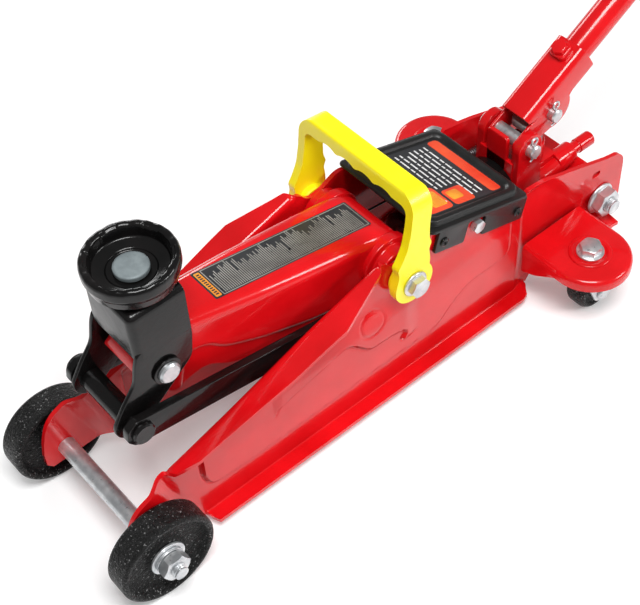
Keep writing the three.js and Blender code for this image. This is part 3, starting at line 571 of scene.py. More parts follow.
# Where the pressed panels fade out: a start and a run along the jack or up it.
UPPER_FRONT = (99, 9)
UPPER_REAR = (222, -16)
PANEL_TOP = (98, -22)
PANEL_REAR = (318, -22)
TOP_MARGIN = (6, 9)
EAR_FRONT = (312, 10)
EAR_TOP = (104, -8)
NOSE, TAIL = -15.8, 418.0
STATION_STEP = 0.95
STATION_GAP = 0.3
EAR_SLOT = rectangle(389.5, 72, 8, 4.5, 2.2)


def line_distance(line, x, z):
    """Distance past a line through two points, positive on its right."""
    (x0, z0), (x1, z1) = line
    length = math.hypot(x1 - x0, z1 - z0)
    return ((x - x0) * (z1 - z0) - (z - z0) * (x1 - x0)) / length


def crease(distance):
    """A sharp line pressed in along the edge of an embossed panel."""
    return CREASE_DEPTH * (1 - smooth(np.abs(distance + STEP_RUN / 2) / CREASE_RUN))


def plate_relief(x, z):
    """How far the pressing stands out from the flat wall."""
    low_edge = edge_distance(LOWER_PANEL, x, z)
    high_edge = edge_distance(UPPER_PANEL, x, z)
    low = LOWER_STEP * smooth(low_edge / STEP_RUN + 0.5) - crease(low_edge)
    high = UPPER_STEP * smooth(high_edge / STEP_RUN + 0.5) - crease(high_edge)
    high = high * rise(x, *UPPER_FRONT) * rise(x, *UPPER_REAR)
    proud = (low + high) * rise(z, *PANEL_TOP) * rise(x, *PANEL_REAR)
    proud = proud * rise(along(TOP_LINE, x) - z, *TOP_MARGIN)
    ear = EAR_DROP * rise(x, *EAR_FRONT) * (1 - smooth(-line_distance(EAR_CREASE, x, z) / EAR_RUN))
    ear = ear * rise(z, *EAR_TOP)
    from_stud = np.hypot(x - LINK_STUD.x, z - LINK_STUD.z)
    groove = STUD_GROOVE * (1 - smooth(np.abs(from_stud - STUD_RING) / GROOVE_RUN))
    return proud - ear - groove


def plate_flare(x, z):
    """How far the nose steps out ahead of its crease."""
    ahead = -line_distance((CREASE_FOOT, CREASE_TOP), x, z)
    return NOSE_FLARE * smooth(ahead / FLARE_RUN)


def fold_path(wide, steps=7, run=5):
    """A flange bent away from the wall: distances out, up, and the sheet's turn at each point."""
    turn = math.pi / 2 * float(smooth(wide / 5))
    length = max(0.05, wide + SHEET / 2 - FOLD)
    path = []
    for i in range(steps + 1):
        t = turn * i / steps
        path.append((FOLD * (1 - math.cos(t)), FOLD * math.sin(t), t))
    bend_out, bend_up = path[-1][:2]
    for i in range(1, run + 1):
        reach = length * i / run
        path.append((bend_out + reach * math.sin(turn), bend_up + reach * math.cos(turn), turn))
    return np.array(path)


def plate_section(x, rows=112):
    """The loop around the bent sheet's edge at one station along the jack."""
    upper, lower = fold_path(along(TOP_FLANGE, x)), fold_path(along(BOTTOM_FLANGE, x))
    half = SHEET / 2
    high = along(TOP_LINE, x) - upper[-1][1] - half * math.sin(upper[-1][2])
    low = along(BOTTOM_LINE, x) + lower[-1][1] + half * math.sin(lower[-1][2])
    wall = np.linspace(low, high, rows)[1:-1]
    out = np.concatenate([lower[::-1, 0], np.zeros(len(wall)), upper[:, 0]])
    z = np.concatenate([low - lower[::-1, 1], wall, high + upper[:, 1]])
    turn = np.concatenate([-lower[::-1, 2], np.zeros(len(wall)), upper[:, 2]])
    on_wall = np.clip(z, min(low, high), max(low, high))
    y = WALL + half + out + plate_relief(x, on_wall) + plate_flare(x, on_wall)
    faces = []
    for side in (half, -half):
        edge_y, edge_z = y + side * np.cos(turn), z - side * np.sin(turn)
        faces.append([Vector((x, -across, up)) for across, up in zip(edge_y, edge_z)])
    return faces[0] + faces[1][::-1]


def side_plate():
    breaks = {x for table in (BOTTOM_LINE, TOP_FLANGE, BOTTOM_FLANGE) for x, _ in table}
    arc_x, _, arc_radius = TAIL_ARC
    round_end = {arc_x + arc_radius * math.cos(t / 10) for t in range(12)}
    stations = sorted(breaks | set(np.arange(NOSE, TAIL, STATION_STEP)) | round_end)
    following = stations[1:] + [math.inf]
    stations = [x for x, after in zip(stations, following) if after - x > STATION_GAP or x in breaks]
    plate = loft([plate_section(x) for x in stations])
    return [carve(plate, slab(EAR_SLOT, -50, -30, XZ, 0.0), "DIFFERENCE")]


both_sides("side_plate", CHASSIS, "red_paint", side_plate)

# ------ front axle and wheels

AXLE_THREAD = threads(5.0, 67, 79.4)
AXLE_PROFILE = both_ends([(0, -68), (5, -68), (5, -44.6), (6, -44.4)])
WHEEL_MIDDLE = -58.25
WHEEL_HALF = 9.25

piece("front_axle_look", "chassis", "zinc",
      [lathe(AXLE_PROFILE, Y_AXIS, AXLE), lathe(AXLE_THREAD, Y_AXIS, AXLE),
       lathe(AXLE_THREAD, -Y_AXIS, AXLE)],
      ["front_axle"])


def front_wheel():
    h = WHEEL_HALF
    profile = rounded(
        [(5.4, -h + 4), (12.5, -h + 4), (13.4, -h + 4.8), (14.4, -3.5), (26.5, -4.2), (28.6, -h + 0.8),
         (30, -h), (31.4, -h), (33, -h + 1.6), (33, h - 1.6), (31.4, h), (30, h), (28.6, h - 0.8),
         (26.5, 4.2), (12.6, 3.4), (10, h + 0.9), (5.4, h + 0.9)], 1.3, 4)
    return [lathe([(r, WHEEL_MIDDLE + y) for r, y in profile], Y_AXIS, AXLE, 96, closed=True)]


both_sides("front_wheel", ("front_wheel_l", "front_wheel_r"), "cast_wheel", front_wheel)
WASHER = rounded(collar(5.3, 12, -65.7, -63.9), 0.5, 3)
both_sides("front_washer", CHASSIS, "zinc", lambda: [lathe(WASHER, Y_AXIS, AXLE, closed=True)])
SPRING_WASHER = rounded(collar(5.3, 9.6, 65.9, 67.7), 0.4, 3)
both_sides("front_nut", CHASSIS, "zinc",
           lambda: [hexagon(17, 67.9, 75.1, -Y_AXIS, AXLE, 5.0, chamfer_low=True),
                    lathe(SPRING_WASHER, -Y_AXIS, AXLE, closed=True)])

# ------ lifting arm

ARM_WIDTHS = [(20, 16.6), (71, 18.2), (118, 22.3), (176, 25.4), (240, 25.7)]
ARM_SKIN = 3.4
ARM_SHOULDER = 6.5
ARM_FRONT, ARM_REAR = 31.6, 222.5
ROOF_FRONT, ROOF_REAR = (60, 156), (205, 129.8)
ARM_TOP = rounded(
    arc(ARM_PIN.x, ARM_PIN.z, 14.5, 179, 104)
    + [(49.5, 156.8), ROOF_FRONT, ROOF_REAR, (214, 126.5), (220, 122), (222.6, 114)], 6, closed=False)
ARM_BOTTOM = rounded(
    [(31.5, 133.5), (33, 128), (38, 121), (50, 105), (56, 103.5), (76, 108.5), (91, 97), (150, 80),
     (204, 63.5), (213.2, 59.7), (220, 62.5), (222.6, 66)], 8, closed=False)
ARM_STEP_DEPTH = 1.8
ARM_STEP = rounded([(62, 130), (79, 127), (89, 116.5), (113, 106.5), (150, 95), (192, 88), (200, 40),
                    (40, 40)], 8)


def arm_column(x, rows=40):
    top, bottom = along(ARM_TOP, x) - ARM_SKIN / 2, along(ARM_BOTTOM, x)
    half = along(ARM_WIDTHS, x) - ARM_SKIN / 2
    shoulder = min(ARM_SHOULDER, max(0.4, (top - bottom) * 0.45))
    heights = np.linspace(bottom, top - shoulder, rows, endpoint=False)
    inset = ARM_STEP_DEPTH * rise(edge_distance(ARM_STEP, x, heights), -1.2, 3)
    side = [(half - inward, z) for inward, z in zip(inset, heights)]
    flat = half - shoulder
    side += [(flat + a, top - shoulder + b) for a, b in arc(0, 0, shoulder, 0, 90, 8)]
    near = side + [(flat * (1 - i / 5), top) for i in range(1, 5)]
    return [Vector((x, -y, z)) for y, z in near] + [Vector((x, y, z)) for y, z in reversed(near)]


ARM_STATIONS = [ARM_FRONT + 0.9 * i * i / (i + 4) for i in range(1, 18)]
ARM_STATIONS += [ARM_STATIONS[-1] + (ARM_REAR - ARM_STATIONS[-1]) * i / 130 for i in range(1, 131)]
arm = grid_shell([arm_column(x) for x in ARM_STATIONS])
piece("lift_arm_look", "arm", "red_paint", [arm], ["lift_arm"], thickness=ARM_SKIN, soften=0.6)

HUB = both_ends([(9.5, -37.3), (15, -37.3), (15, -29.5), (19.5, -29.5), (19.5, -22.5), (15, -22.5)])
spring_lug = arc(PIVOT.x, PIVOT.z, 24, -125, -55) + [(215, 103), (203, 103)]
piece("arm_hub_look", "arm", "red_paint",
      [lathe(rounded(HUB, 1.2, 3), Y_AXIS, PIVOT, closed=True), *cheeks(spring_lug, 25, 29.5)])
piece("arm_nose_look", "arm", "red_paint",
      [lathe(collar(7.5, 11, -16.4, 16.4), Y_AXIS, ARM_PIN, closed=True)])
piece("arm_shaft_look", "chassis", "bare_steel", [lathe(rod(9, -41.4, 41.4, 1), Y_AXIS, PIVOT)],
      ["arm_pivot_shaft"])
CROSSHEAD = Vector((213.24, 0, 69.74))
piece("crosshead_look", "arm", "bare_steel", [lathe(rod(6.2, -25.6, 25.6, 0.8), Y_AXIS, CROSSHEAD)],
      ["ram_crosshead"])

# ------ the arm's label, with no words

ROOF_SLOPE = math.atan2(ROOF_FRONT[1] - ROOF_REAR[1], ROOF_REAR[0] - ROOF_FRONT[0])
ARM_ROOF = Matrix.Translation((ROOF_FRONT[0], 0, ROOF_FRONT[1])) @ Matrix.Rotation(ROOF_SLOPE, 4, "Y")
PRINT = 0.12
LABEL_START, LABEL_END, LABEL_HALF = 32.0, 152.0, 13.0
LABEL_MARGIN = 1.1
BAND_START = LABEL_START + 1.3
BAND_END = BAND_START + 4.0
RULES_START = LABEL_START + 8.5
RULE_COUNT = 76
RULE_WIDTH = 0.62
PARAGRAPH = 13
BORDER = 0.3


def print_on(place, name, body, ink, boxes, level, corner=0.0):
    """Thin printed areas (x0, x1, y0, y1) on a sloping face."""
    shells = []
    for x0, x1, y0, y1 in boxes:
        outline = [(x0, y0), (x1, y0), (x1, y1), (x0, y1)]
        if corner:
            outline = rounded(outline, corner)
        shells.append(moved(slab(outline, level, level + PRINT, XY, 0.03), place))
    piece(name, body, f"label_{ink}", shells)


def label_ticks():
    return [(LABEL_START + 2.2, LABEL_START + 4.4, 1.9 * k - 0.55, 1.9 * k + 0.55) for k in range(-5, 6)]


def label_rules():
    """Lines of ragged length, the last of each paragraph short."""
    boxes = []
    for k in range(RULE_COUNT):
        x = RULES_START + (LABEL_END - LABEL_START - 12) * k / RULE_COUNT
        ragged = 3.5 + 2.5 * math.sin(1.7 * k) + 2.5 * math.sin(0.37 * k + 1)
        ragged += 7.0 if k % PARAGRAPH == PARAGRAPH - 1 else 0.0
        boxes.append((x, x + RULE_WIDTH, 2.2 - LABEL_HALF, LABEL_HALF - 2.0 - ragged))
    return boxes


def label_border():
    edge = LABEL_HALF - LABEL_MARGIN
    boxes = [(LABEL_START + 6.4, LABEL_END - 1.3, s * edge - BORDER, s * edge + BORDER) for s in (-1, 1)]
    return boxes + [(x - BORDER, x + BORDER, -edge, edge) for x in (LABEL_START + 6.6, LABEL_END - 1.4)]


ARM_PRINT = {
    "base": ("dark", [(LABEL_START, LABEL_END, -LABEL_HALF, LABEL_HALF)], 0.0, 1.2),
    "band": ("amber", [(BAND_START, BAND_END, 1.4 - LABEL_HALF, LABEL_HALF - 1.4)], 0.05, 0.8),
    "ticks": ("dark", label_ticks(), 0.09),
    "rules": ("grey", label_rules(), 0.05),
    "border": ("grey", label_border(), 0.05),
}
for name, printed in ARM_PRINT.items():
    print_on(ARM_ROOF, f"arm_label_{name}", "arm", *printed)

# ------ saddle bracket, saddle and links

CHEEK = rounded(
    [(34, 185), (67, 185), (67, 149), (64.5, 132), (40, 112)] + arc(LINK_PIN.x, LINK_PIN.z, 12, -30, -200)
    + [(14, 124), (24.5, 137), (27.6, 152), (30, 158), (34, 160)], 4)


def bent_hood():
    """The bracket's roof and front web, bent from one sheet, open below and behind."""
    hood = block(31, 80, -21.5, 21.5, 154, 187.5)
    hood.normal_update()
    open_faces = [f for f in hood.faces if f.normal.z < -0.5 or f.normal.x > 0.5]
    bends = [e for e in hood.edges if sum(f in open_faces for f in e.link_faces) == 0]
    bmesh.ops.delete(hood, geom=open_faces, context="FACES_ONLY")
    bmesh.ops.bevel(hood, geom=bends, offset=3.4, segments=6, affect="EDGES", profile=0.5)
    for v in hood.verts:
        if v.co.x > 60:
            v.co.x = 66.9
    return tidy(hood)


piece("bracket_hood_look", "bracket", "black_paint", [bent_hood()], ["saddle_bracket"],
      thickness=3.0, soften=0.5)
piece("bracket_cheeks_look", "bracket", "black_paint", cheeks(CHEEK, 20, 22.95, 0.8))

RIM_LUMPS = 6
LUMP_HEIGHT = 1.1


def saddle_cup():
    """A two-step cup whose rim carries a few cast lumps."""
    base, top = BRACKET_TOP + 0.3, SADDLE_TOP
    profile = rounded(
        [(6.5, base), (17, base), (20, base + 2.5), (25.6, base + 3), (26.6, base + 9), (28, base + 11),
         (28, top - 2.2), (26.8, top - 0.3), (24.5, top), (22.8, top - 1.2), (21.8, top - 8.6),
         (14.8, top - 10.2), (14, top - 11.4), (6.5, top - 11.4)], 1.2, 5)
    turned = lathe(profile, Z_AXIS, SADDLE, 300, closed=True)
    for v in turned.verts:
        angle = math.atan2(v.co.y, v.co.x - SADDLE.x)
        radius = math.hypot(v.co.y, v.co.x - SADDLE.x)
        lump = rise(math.cos(angle * RIM_LUMPS + 0.6), -0.35, 0.3)
        inner = rise(v.co.z, top - 4, 2) * rise(radius, 25.4, -1.0)
        v.co.z -= LUMP_HEIGHT * float(inner * (1 - lump))
        ripple = 0.18 * math.sin(angle * 11) + 0.14 * math.sin(angle * 23 + 1.3)
        v.co.z += min(0.0, ripple - 0.2) * float(rise(v.co.z, top - 5, 3))
    return turned


piece("saddle_cup_look", "saddle", "black_paint", [saddle_cup()], ["saddle_cup"])
foot, head = BRACKET_TOP, RIVET_TOP
RIVET = rounded(
    [(0, foot - 6), (9, foot - 6), (9, foot - 3.3), (6, foot - 3.3), (6, head - 3.6), (10.4, head - 3.6),
     (10.4, head - 0.8), (9.2, head - 0.1), (0, head)], 0.5, 3, closed=False)
piece("saddle_rivet_look", "bracket", "rivet_steel", [lathe(RIVET, Z_AXIS, SADDLE)], ["saddle_rivet"])

FRONT_PIN = both_ends(
    [(0, -28), (5.8, -28), (7, -26.8), (7, -25.3), (5.8, -25.3), (5.8, -23.8), (7, -23.8)])
piece("arm_front_pin_look", "bracket", "zinc", [lathe(FRONT_PIN, Y_AXIS, ARM_PIN)], ["arm_front_pin"])
CLIP = arc(ARM_PIN.x, ARM_PIN.z, 9.4, -70, 250, 40) + arc(ARM_PIN.x, ARM_PIN.z, 6.1, 250, -70, 40)
both_sides("arm_pin_ring", ("bracket", "bracket"), "black_paint",
           lambda: [slab(CLIP, -25.1, -23.9, XZ, 0.3)])

LINK_LEAN = math.degrees(math.atan2(LINK_STUD.z - LINK_PIN.z, LINK_STUD.x - LINK_PIN.x))


def link_bar():
    ends = arc(LINK_PIN.x, LINK_PIN.z, 10.4, LINK_LEAN + 247.5, LINK_LEAN + 112.5, 3)
    ends += arc(LINK_STUD.x, LINK_STUD.z, 9.6, LINK_LEAN + 67.5, LINK_LEAN - 67.5, 3)
    return [slab(rounded(ends, 2.0), -32, -26.5, XZ, 0.5)]


both_sides("link", ("links", "links"), "black_paint", link_bar)
LINK_PIN_PROFILE = both_ends(
    [(0, -35.4), (6.4, -35.4), (7.4, -34.6), (7.4, -32.6), (5, -32.6), (5, -19.7), (7.2, -19.7)])
piece("link_front_pin_look", "bracket", "black_paint",
      [lathe(LINK_PIN_PROFILE, Y_AXIS, LINK_PIN)], ["link_front_pin"])
STUD = [(0, -43.7), (6.8, -43.7), (7.9, -43.1), (8, -41.7), (5, -41.7), (5, -26.2), (0, -26.2)]
both_sides("link_stud", CHASSIS, "red_paint", lambda: [lathe(STUD, Y_AXIS, LINK_STUD)])

# ------ casters

MOUNT_FACE = -41.8  # where a mount meets its side plate
MOUNT_TOP = 52.3


def half_round(radius, z):
    """A half circle about the caster, closed along the side plate."""
    rim = [Vector((CASTER.x + a, CASTER.y + b, z)) for a, b in arc(0, 0, radius, 180, 360, 40)]
    return [Vector((CASTER.x - radius, MOUNT_FACE, z)), *rim, Vector((CASTER.x + radius, MOUNT_FACE, z))]


def caster_mount():
    layers = [(26, 49), (26, 43.4), (26.5, 43), (28.6, 43), (29, 43.5), (29, 47.8), (28.5, 49.8),
              (27.2, 51.3), (25.2, 52)]
    boss = rounded([(0, 51), (15.2, 51.6), (14.6, 53), (12.0, 53.2), (10.6, MOUNT_TOP), (0, MOUNT_TOP)],
                    0.6, 3, closed=False)
    gusset = rounded([(MOUNT_FACE, 26), (-54, 31), (-73, 43.6), (-73, 50.5), (MOUNT_FACE, 50.5)], 3)
    return [loft([half_round(r, z) for r, z in layers]), lathe(boss, Z_AXIS, CASTER),
            slab(gusset, 319.2, 322, YZ, 0.6)]


def caster_bolt():
    washer = rounded(rod(9.5, MOUNT_TOP, 53.7), 0.4, 3, closed=False)
    return [hexagon(13.6, 53.4, 59.1, Z_AXIS, CASTER), lathe(washer, Z_AXIS, CASTER),
            lathe(rod(5, 38, 52), Z_AXIS, CASTER)]


def caster_fork():
    race = rounded([(5.4, 38), (14, 38), (14, 44), (12.6, 45), (14, 46), (14, 48.6), (5.4, 48.6)], 0.8, 3)
    cheek = rounded([(335, 38)] + arc(ROLLER.x, ROLLER.z, 8, 200, 350) + [(364, 38)], 2)
    return [lathe(race, Z_AXIS, CASTER, closed=True),
            slab(rectangle(349, ROLLER.y, 32, 22.8, 5), 36, 39, XY, 0.7),
            slab(cheek, -87.9, -85.7, XZ, 0.5), slab(cheek, -67.3, -65.1, XZ, 0.5)]


def caster_wheel():
    half = [(3.3, -8.7), (6, -8.7), (6.5, -6.5), (12, -6.5), (13, -8), (15, -8), (17, -5)]
    return [lathe(rounded(both_ends(half), 1.0, 3), Y_AXIS, ROLLER, closed=True)]


AXLE_STUB = rounded(
    both_ends([(0, -14), (4.5, -14), (5.5, -13), (5.5, -11.7), (3, -11.7)]), 0.4, 2, closed=False)
both_sides("caster_mount", CHASSIS, "red_paint", caster_mount)
both_sides("caster_bolt", CHASSIS, "zinc", caster_bolt)
both_sides("caster_fork", ("caster_l", "caster_r"), "zinc", caster_fork)
both_sides("caster_wheel", ("caster_roller_l", "caster_roller_r"), "cast_wheel", caster_wheel)
both_sides("caster_axle", ("caster_l", "caster_r"), "zinc", lambda: [lathe(AXLE_STUB, Y_AXIS, ROLLER, 32)])

# ------ hydraulic unit

LUG = rounded([(332, 60), (357, 60)] + arc(SOCKET_PIN.x, SOCKET_PIN.z, 11, -10, 190), 2)
TONGUE = rounded([(-9, 90), (9, 90), (9, 119), (-9, 119)], 3)
ELBOW = rounded([(350, 80), (352, 72), (357, 66.5), (364, 64), (373, 64), (382, 66), (392, 68)], 8, 6,
                 closed=False)
PUMP_BOSS = rounded(collar(6.3, 11, 80, 94), 1)
VALVE_BOSS = rounded([(0, 380), (7.6, 380), (7.6, 397), (4.9, 397), (4.9, 385), (0, 385)], 0.6,
                     closed=False)
RESERVOIR = rounded([(9.3, 250), (20, 250), (23.5, 252.5), (23.5, 331.7), (20, 331.7), (20, 260),
                     (9.3, 260)], 0.8, 3)
RAM = [(0, 220.3), (11, 220.3), (12, 221.3), (12, 226.3), (9, 228.3), (9, 298.3), (19, 298.3),
       (19, 308.3), (0, 308.3)]
PLUNGER_ROD = [(0, 66), (5, 66), (6, 67), (6, 112.7), (0, 112.7)]
VALVE_STEM = rounded([(0, 386), (4.7, 386), (4.7, 404), (5.4, 404), (5.4, 417), (4.4, 418), (0, 418)],
                      0.5, closed=False)

piece(
    "power_unit_look", "chassis", "red_paint",
    [block(332, 404, -24, 24, 38, 60), block(332, 358, -18, 18, 58, 82), block(350, 382, -10, 18, 58, 76),
     wire_along([Vector((x, -11.5, z)) for x, z in ELBOW], 7.0, 24), block(332, 335.2, -15, 15, 58, 100),
     slab(TONGUE, 332, 335.2, YZ), *reversed(cheeks(LUG, 13, 19.5)),
     lathe(PUMP_BOSS, Z_AXIS, PLUNGER, closed=True), lathe(VALVE_BOSS, X_AXIS, VALVE)],
    ["power_unit"], soften=1.4,
)
piece("reservoir_look", "chassis", "black_paint", [lathe(RESERVOIR, X_AXIS, UNIT, closed=True)],
      ["reservoir_tube"])
piece("ram_look", "ram", "chrome_rod", [lathe(RAM, X_AXIS, UNIT)], ["ram_rod"])
piece("plunger_look", "plunger", "zinc",
      [lathe(PLUNGER_ROD, Z_AXIS, PLUNGER),
       slab(rectangle(PLUNGER.x, 0, 24, 17, 5), 109.7, 115.7, XY, 0.8)],
      ["pump_plunger"])
piece("release_valve_look", "valve", "red_paint", [lathe(VALVE_STEM, X_AXIS, VALVE)], ["release_valve"])

SPRING_WIRE = 0.75
SPRING_TURNS = 58


def return_spring():
    """A close coil from the plate's rear ear to the arm, with straight ends."""
    rear, front = Vector((387, -28, 72)), Vector((217, -31.8, 86))
    line = rear - front
    spin = line.orthogonal().normalized() * 3.1
    coil_start, coil_end = front + line * 0.3, front + line * 0.88
    return [coil(coil_start, coil_end, 3.05, SPRING_WIRE, SPRING_TURNS),
            wire_along([front, coil_start + spin * 0.4, coil_start + spin], 0.8),
            wire_along([coil_end + spin, coil_end + line * 0.03, rear], 0.8),
            wire_along([rear, rear + Vector((0, -9.4, 0))], 0.9)]


both_sides("return_spring", CHASSIS, "spring_steel", return_spring)

# ------ rear cross bolt

FLANGE = rounded([(6.3, 41.8), (12, 41.8), (12, 43.2), (10, 44.4), (6.3, 44.6)], 0.5, 3)
piece("cross_bolt_look", "chassis", "zinc",
      [lathe(rod(6, -50, 44), Y_AXIS, CROSS_BOLT), lathe(threads(6.0, 49, 56.4), -Y_AXIS, CROSS_BOLT),
       hexagon(19, 43.8, 51.8, Y_AXIS, CROSS_BOLT), lathe(FLANGE, Y_AXIS, CROSS_BOLT, closed=True)],
      ["rear_cross_bolt"])
piece("rear_nut_look", "chassis", "zinc",
      [hexagon(19, 43.8, 51.8, -Y_AXIS, CROSS_BOLT, 6.1), lathe(FLANGE, -Y_AXIS, CROSS_BOLT, closed=True)],
      ["rear_nut"])

# ------ top cover

# The lid's loops from under its rim up and into its dished top: width, depth, corner radius, height, shift.
LID = [(82.8, 78, 3, -1.2, 0), (89.4, 87.2, 3.4, -2.5, 0), (90.8, 88.6, 4, -1.9, 0),
       (90.8, 88.6, 4, -0.8, 0), (90, 87.8, 3.7, -0.2, 0), (88.6, 86.4, 3.2, 0, 0),
       (86, 81.2, 8.4, 0.1, -1), (85, 80.2, 8, 0.8, -1), (84.7, 79.9, 8, 2.2, -1),
       (83.7, 78.9, 7.6, 3.3, -1), (82, 77.2, 7, 3.8, -1), (77.4, 72.6, 7, 3.8, -1),
       (75.6, 70.8, 6.6, 3.4, -1), (74.2, 69.4, 6.2, 2.4, -1), (73.2, 68.4, 6, 1.8, -1),
       (70.8, 66, 5, 1.6, -1)]
SKIRT = rounded(
    [(-37.6, -0.6), (-37.6, -19), (-10.6, -19), (-10.6, -3.4), (5.4, -3.4), (5.4, -19), (44.4, -19),
     (44.4, -0.6)], 2.2)
DASH_LINES = 7


def top_cover():
    loops = []
    for width, depth, corner, z, shift in LID:
        loops.append([Vector((a, b, z)) for a, b in rectangle(shift, 0, width, depth, corner, 10)])
    return [moved(shell, COVER_FRAME) for shell in [loft(loops), *cheeks(SKIRT, 41.8, 44.25, 0.5)]]


def label_dashes():
    """Lines of short dashes in place of print."""
    boxes = []
    for k in range(DASH_LINES):
        x = -10 + 4.4 * k
        start = -12.0 if k < 4 else -27.0
        dash = 0
        while start < 25:
            length = 3 + (dash * 5 + k * 3) % 7
            boxes.append((x, x + 1.3, start, min(start + length, 28)))
            start += length + 1.2
            dash += 1
    return boxes


piece("top_cover_look", "chassis", "black_plastic", top_cover(), ["top_cover"])
# The cover's label: ink, printed areas, height and corner radius.
COVER_PRINT = {
    "base": ("dark", [(-35, 33, -32, 32)], 1.55, 5),
    "band": ("orange", [(22.5, 32, -31, 31), (-10, 8, -31, -15)], 1.6, 3),
    "corner": ("orange", [(-34, -12, -31, -8)], 1.6, 4),
    "patch": ("amber", [(-8, 2, -26, -17), (-26, -14, -27, -12)], 1.64, 2),
    "dashes": ("white", label_dashes(), 1.6),
}
for name, printed in COVER_PRINT.items():
    print_on(COVER_FRAME, f"cover_label_{name}", "chassis", *printed)
STRIPE_TURN = Matrix.Rotation(math.radians(28), 4, "Z")
print_on(COVER_FRAME @ STRIPE_TURN, "cover_label_stripe", "chassis", "white",
         [(-24, -23.2, -16, 22)], 1.62)

SCREW = rounded([(0, -44.2), (1.0, -45.0), (2.2, -45.8), (3.4, -45.2), (3.4, -44.6), (1.6, -44.6),
                 (1.6, -39.4), (0, -39.4)], 0.3, 2, closed=False)
for place, centre in COVER_SCREWS.items():
    both_sides(f"cover_screw_{place}", CHASSIS, "black_paint", lambda: [lathe(SCREW, Y_AXIS, centre, 40)])
both_sides("side_bolt", CHASSIS, "zinc",
           lambda: [hexagon(8.5, 41.8, 46.4, -Y_AXIS, SIDE_BOLT),
                    lathe(rod(3, -42, -34), Y_AXIS, SIDE_BOLT)])

# ------ handle socket and handle

PIN_IN_SOCKET = SOCKET_FRAME.inverted() @ SOCKET_PIN
ROLLER_IN_SOCKET = SOCKET_FRAME.inverted() @ ROLLER_PIN
SOCKET_LENGTH = 60.0
SOCKET_ROWS = 24
CLAMP = Vector((51, 0, 0))


def socket_tube():
    """A rounded square tube whose underside is cut away towards the pivot."""
    columns = []
    for a, b in rectangle(0, 0, 22.7, 22.7, 4.4):
        start = 27.0 * rise(b, 5.5, -7)
        step = (SOCKET_LENGTH - start) / SOCKET_ROWS
        columns.append([Vector((start + step * i, a, b)) for i in range(SOCKET_ROWS + 1)])
    return grid_shell(list(zip(*columns)), close_columns=True)


def in_socket(shells):
    return [moved(shell, SOCKET_FRAME) for shell in shells]


SOCKET_CHEEK = rounded(
    arc(PIN_IN_SOCKET.x, PIN_IN_SOCKET.z, 8.5, 120, 250)
    + arc(ROLLER_IN_SOCKET.x + 3, ROLLER_IN_SOCKET.z - 1, 14.5, 230, 350) + [(46, -6.5), (8, 4)], 2)
clamp_pad = slab(rectangle(CLAMP.x, 0, 12, 12, 3), 11.5, 17.5, XY, 0.8)
clamp_bolt = [hexagon(9.7, 17.8, 21.5, Z_AXIS, CLAMP), lathe(rod(3, 10.5, 18.5), Z_AXIS, CLAMP)]
piece("socket_tube_look", "pump_handle", "red_paint", in_socket([socket_tube()]), ["handle_socket"],
      thickness=2.3, soften=0.5)
piece("socket_cheeks_look", "pump_handle", "red_paint",
      in_socket([*reversed(cheeks(SOCKET_CHEEK, 10.2, 12.45)), clamp_pad]))
piece("clamp_bolt_look", "pump_handle", "red_paint", in_socket(clamp_bolt), ["socket_clamp_bolt"])


def headed_pin(centre, radius, reach, head_face):
    """A pin from -reach to a flat head, whose near side is at head_face."""
    profile = [(0, -reach), (radius - 0.9, -reach), (radius, -reach + 0.9), (radius, head_face),
               (radius + 2.4, head_face), (radius + 2.4, head_face + 1.7), (radius + 1.4, head_face + 2.5),
               (0, head_face + 2.5)]
    return [lathe(profile, Y_AXIS, centre)]


def cotter(centre, radius, reach):
    """A split pin: an eye above, a round shank through the pin and two legs spread below."""
    y = -reach + 2.6
    top, low = centre.z + radius, centre.z - radius
    eye = [Vector((a, y, b)) for a, b in arc(centre.x, top + 3.6, 2.6, -60, 240, 20)]
    shank = [Vector((centre.x, y, top + 1.6)), Vector((centre.x, y, low - 0.4))]
    foot = shank[-1]
    legs = [[foot, foot + Vector((0.6 * s, 0, -1.2)), foot + Vector((2.6 * s, 0, -2.4))] for s in (-1, 1)]
    return [wire_along(eye, 0.75), wire_along(shank, 1.1)] + [wire_along(leg, 0.65) for leg in legs]


for name, body, centre, reach, head_face, nodes in (
    ("socket", "chassis", SOCKET_PIN, 25, 19.8, ("socket_pivot_pin", "socket_pivot_cotter")),
    ("roller", "pump_handle", ROLLER_PIN, 18, 12.8, ("roller_pin", "roller_pin_cotter")),
):
    piece(f"{name}_pin_look", body, "zinc", headed_pin(centre, PIN_RADIUS, reach, head_face), [nodes[0]])
    piece(f"{name}_cotter_look", body, "zinc", cotter(centre, PIN_RADIUS, reach), [nodes[1]])
HANDLE = rounded([(8.4, 26), (10, 26), (10, 468.2), (9, 469.4), (8.4, 469.4)], 0.6, 3)
piece("handle_tube_look", "pump_handle", "red_paint",
      in_socket([lathe(HANDLE, X_AXIS, Vector(), closed=True)]), ["handle_tube"])

# ------ carrying bail

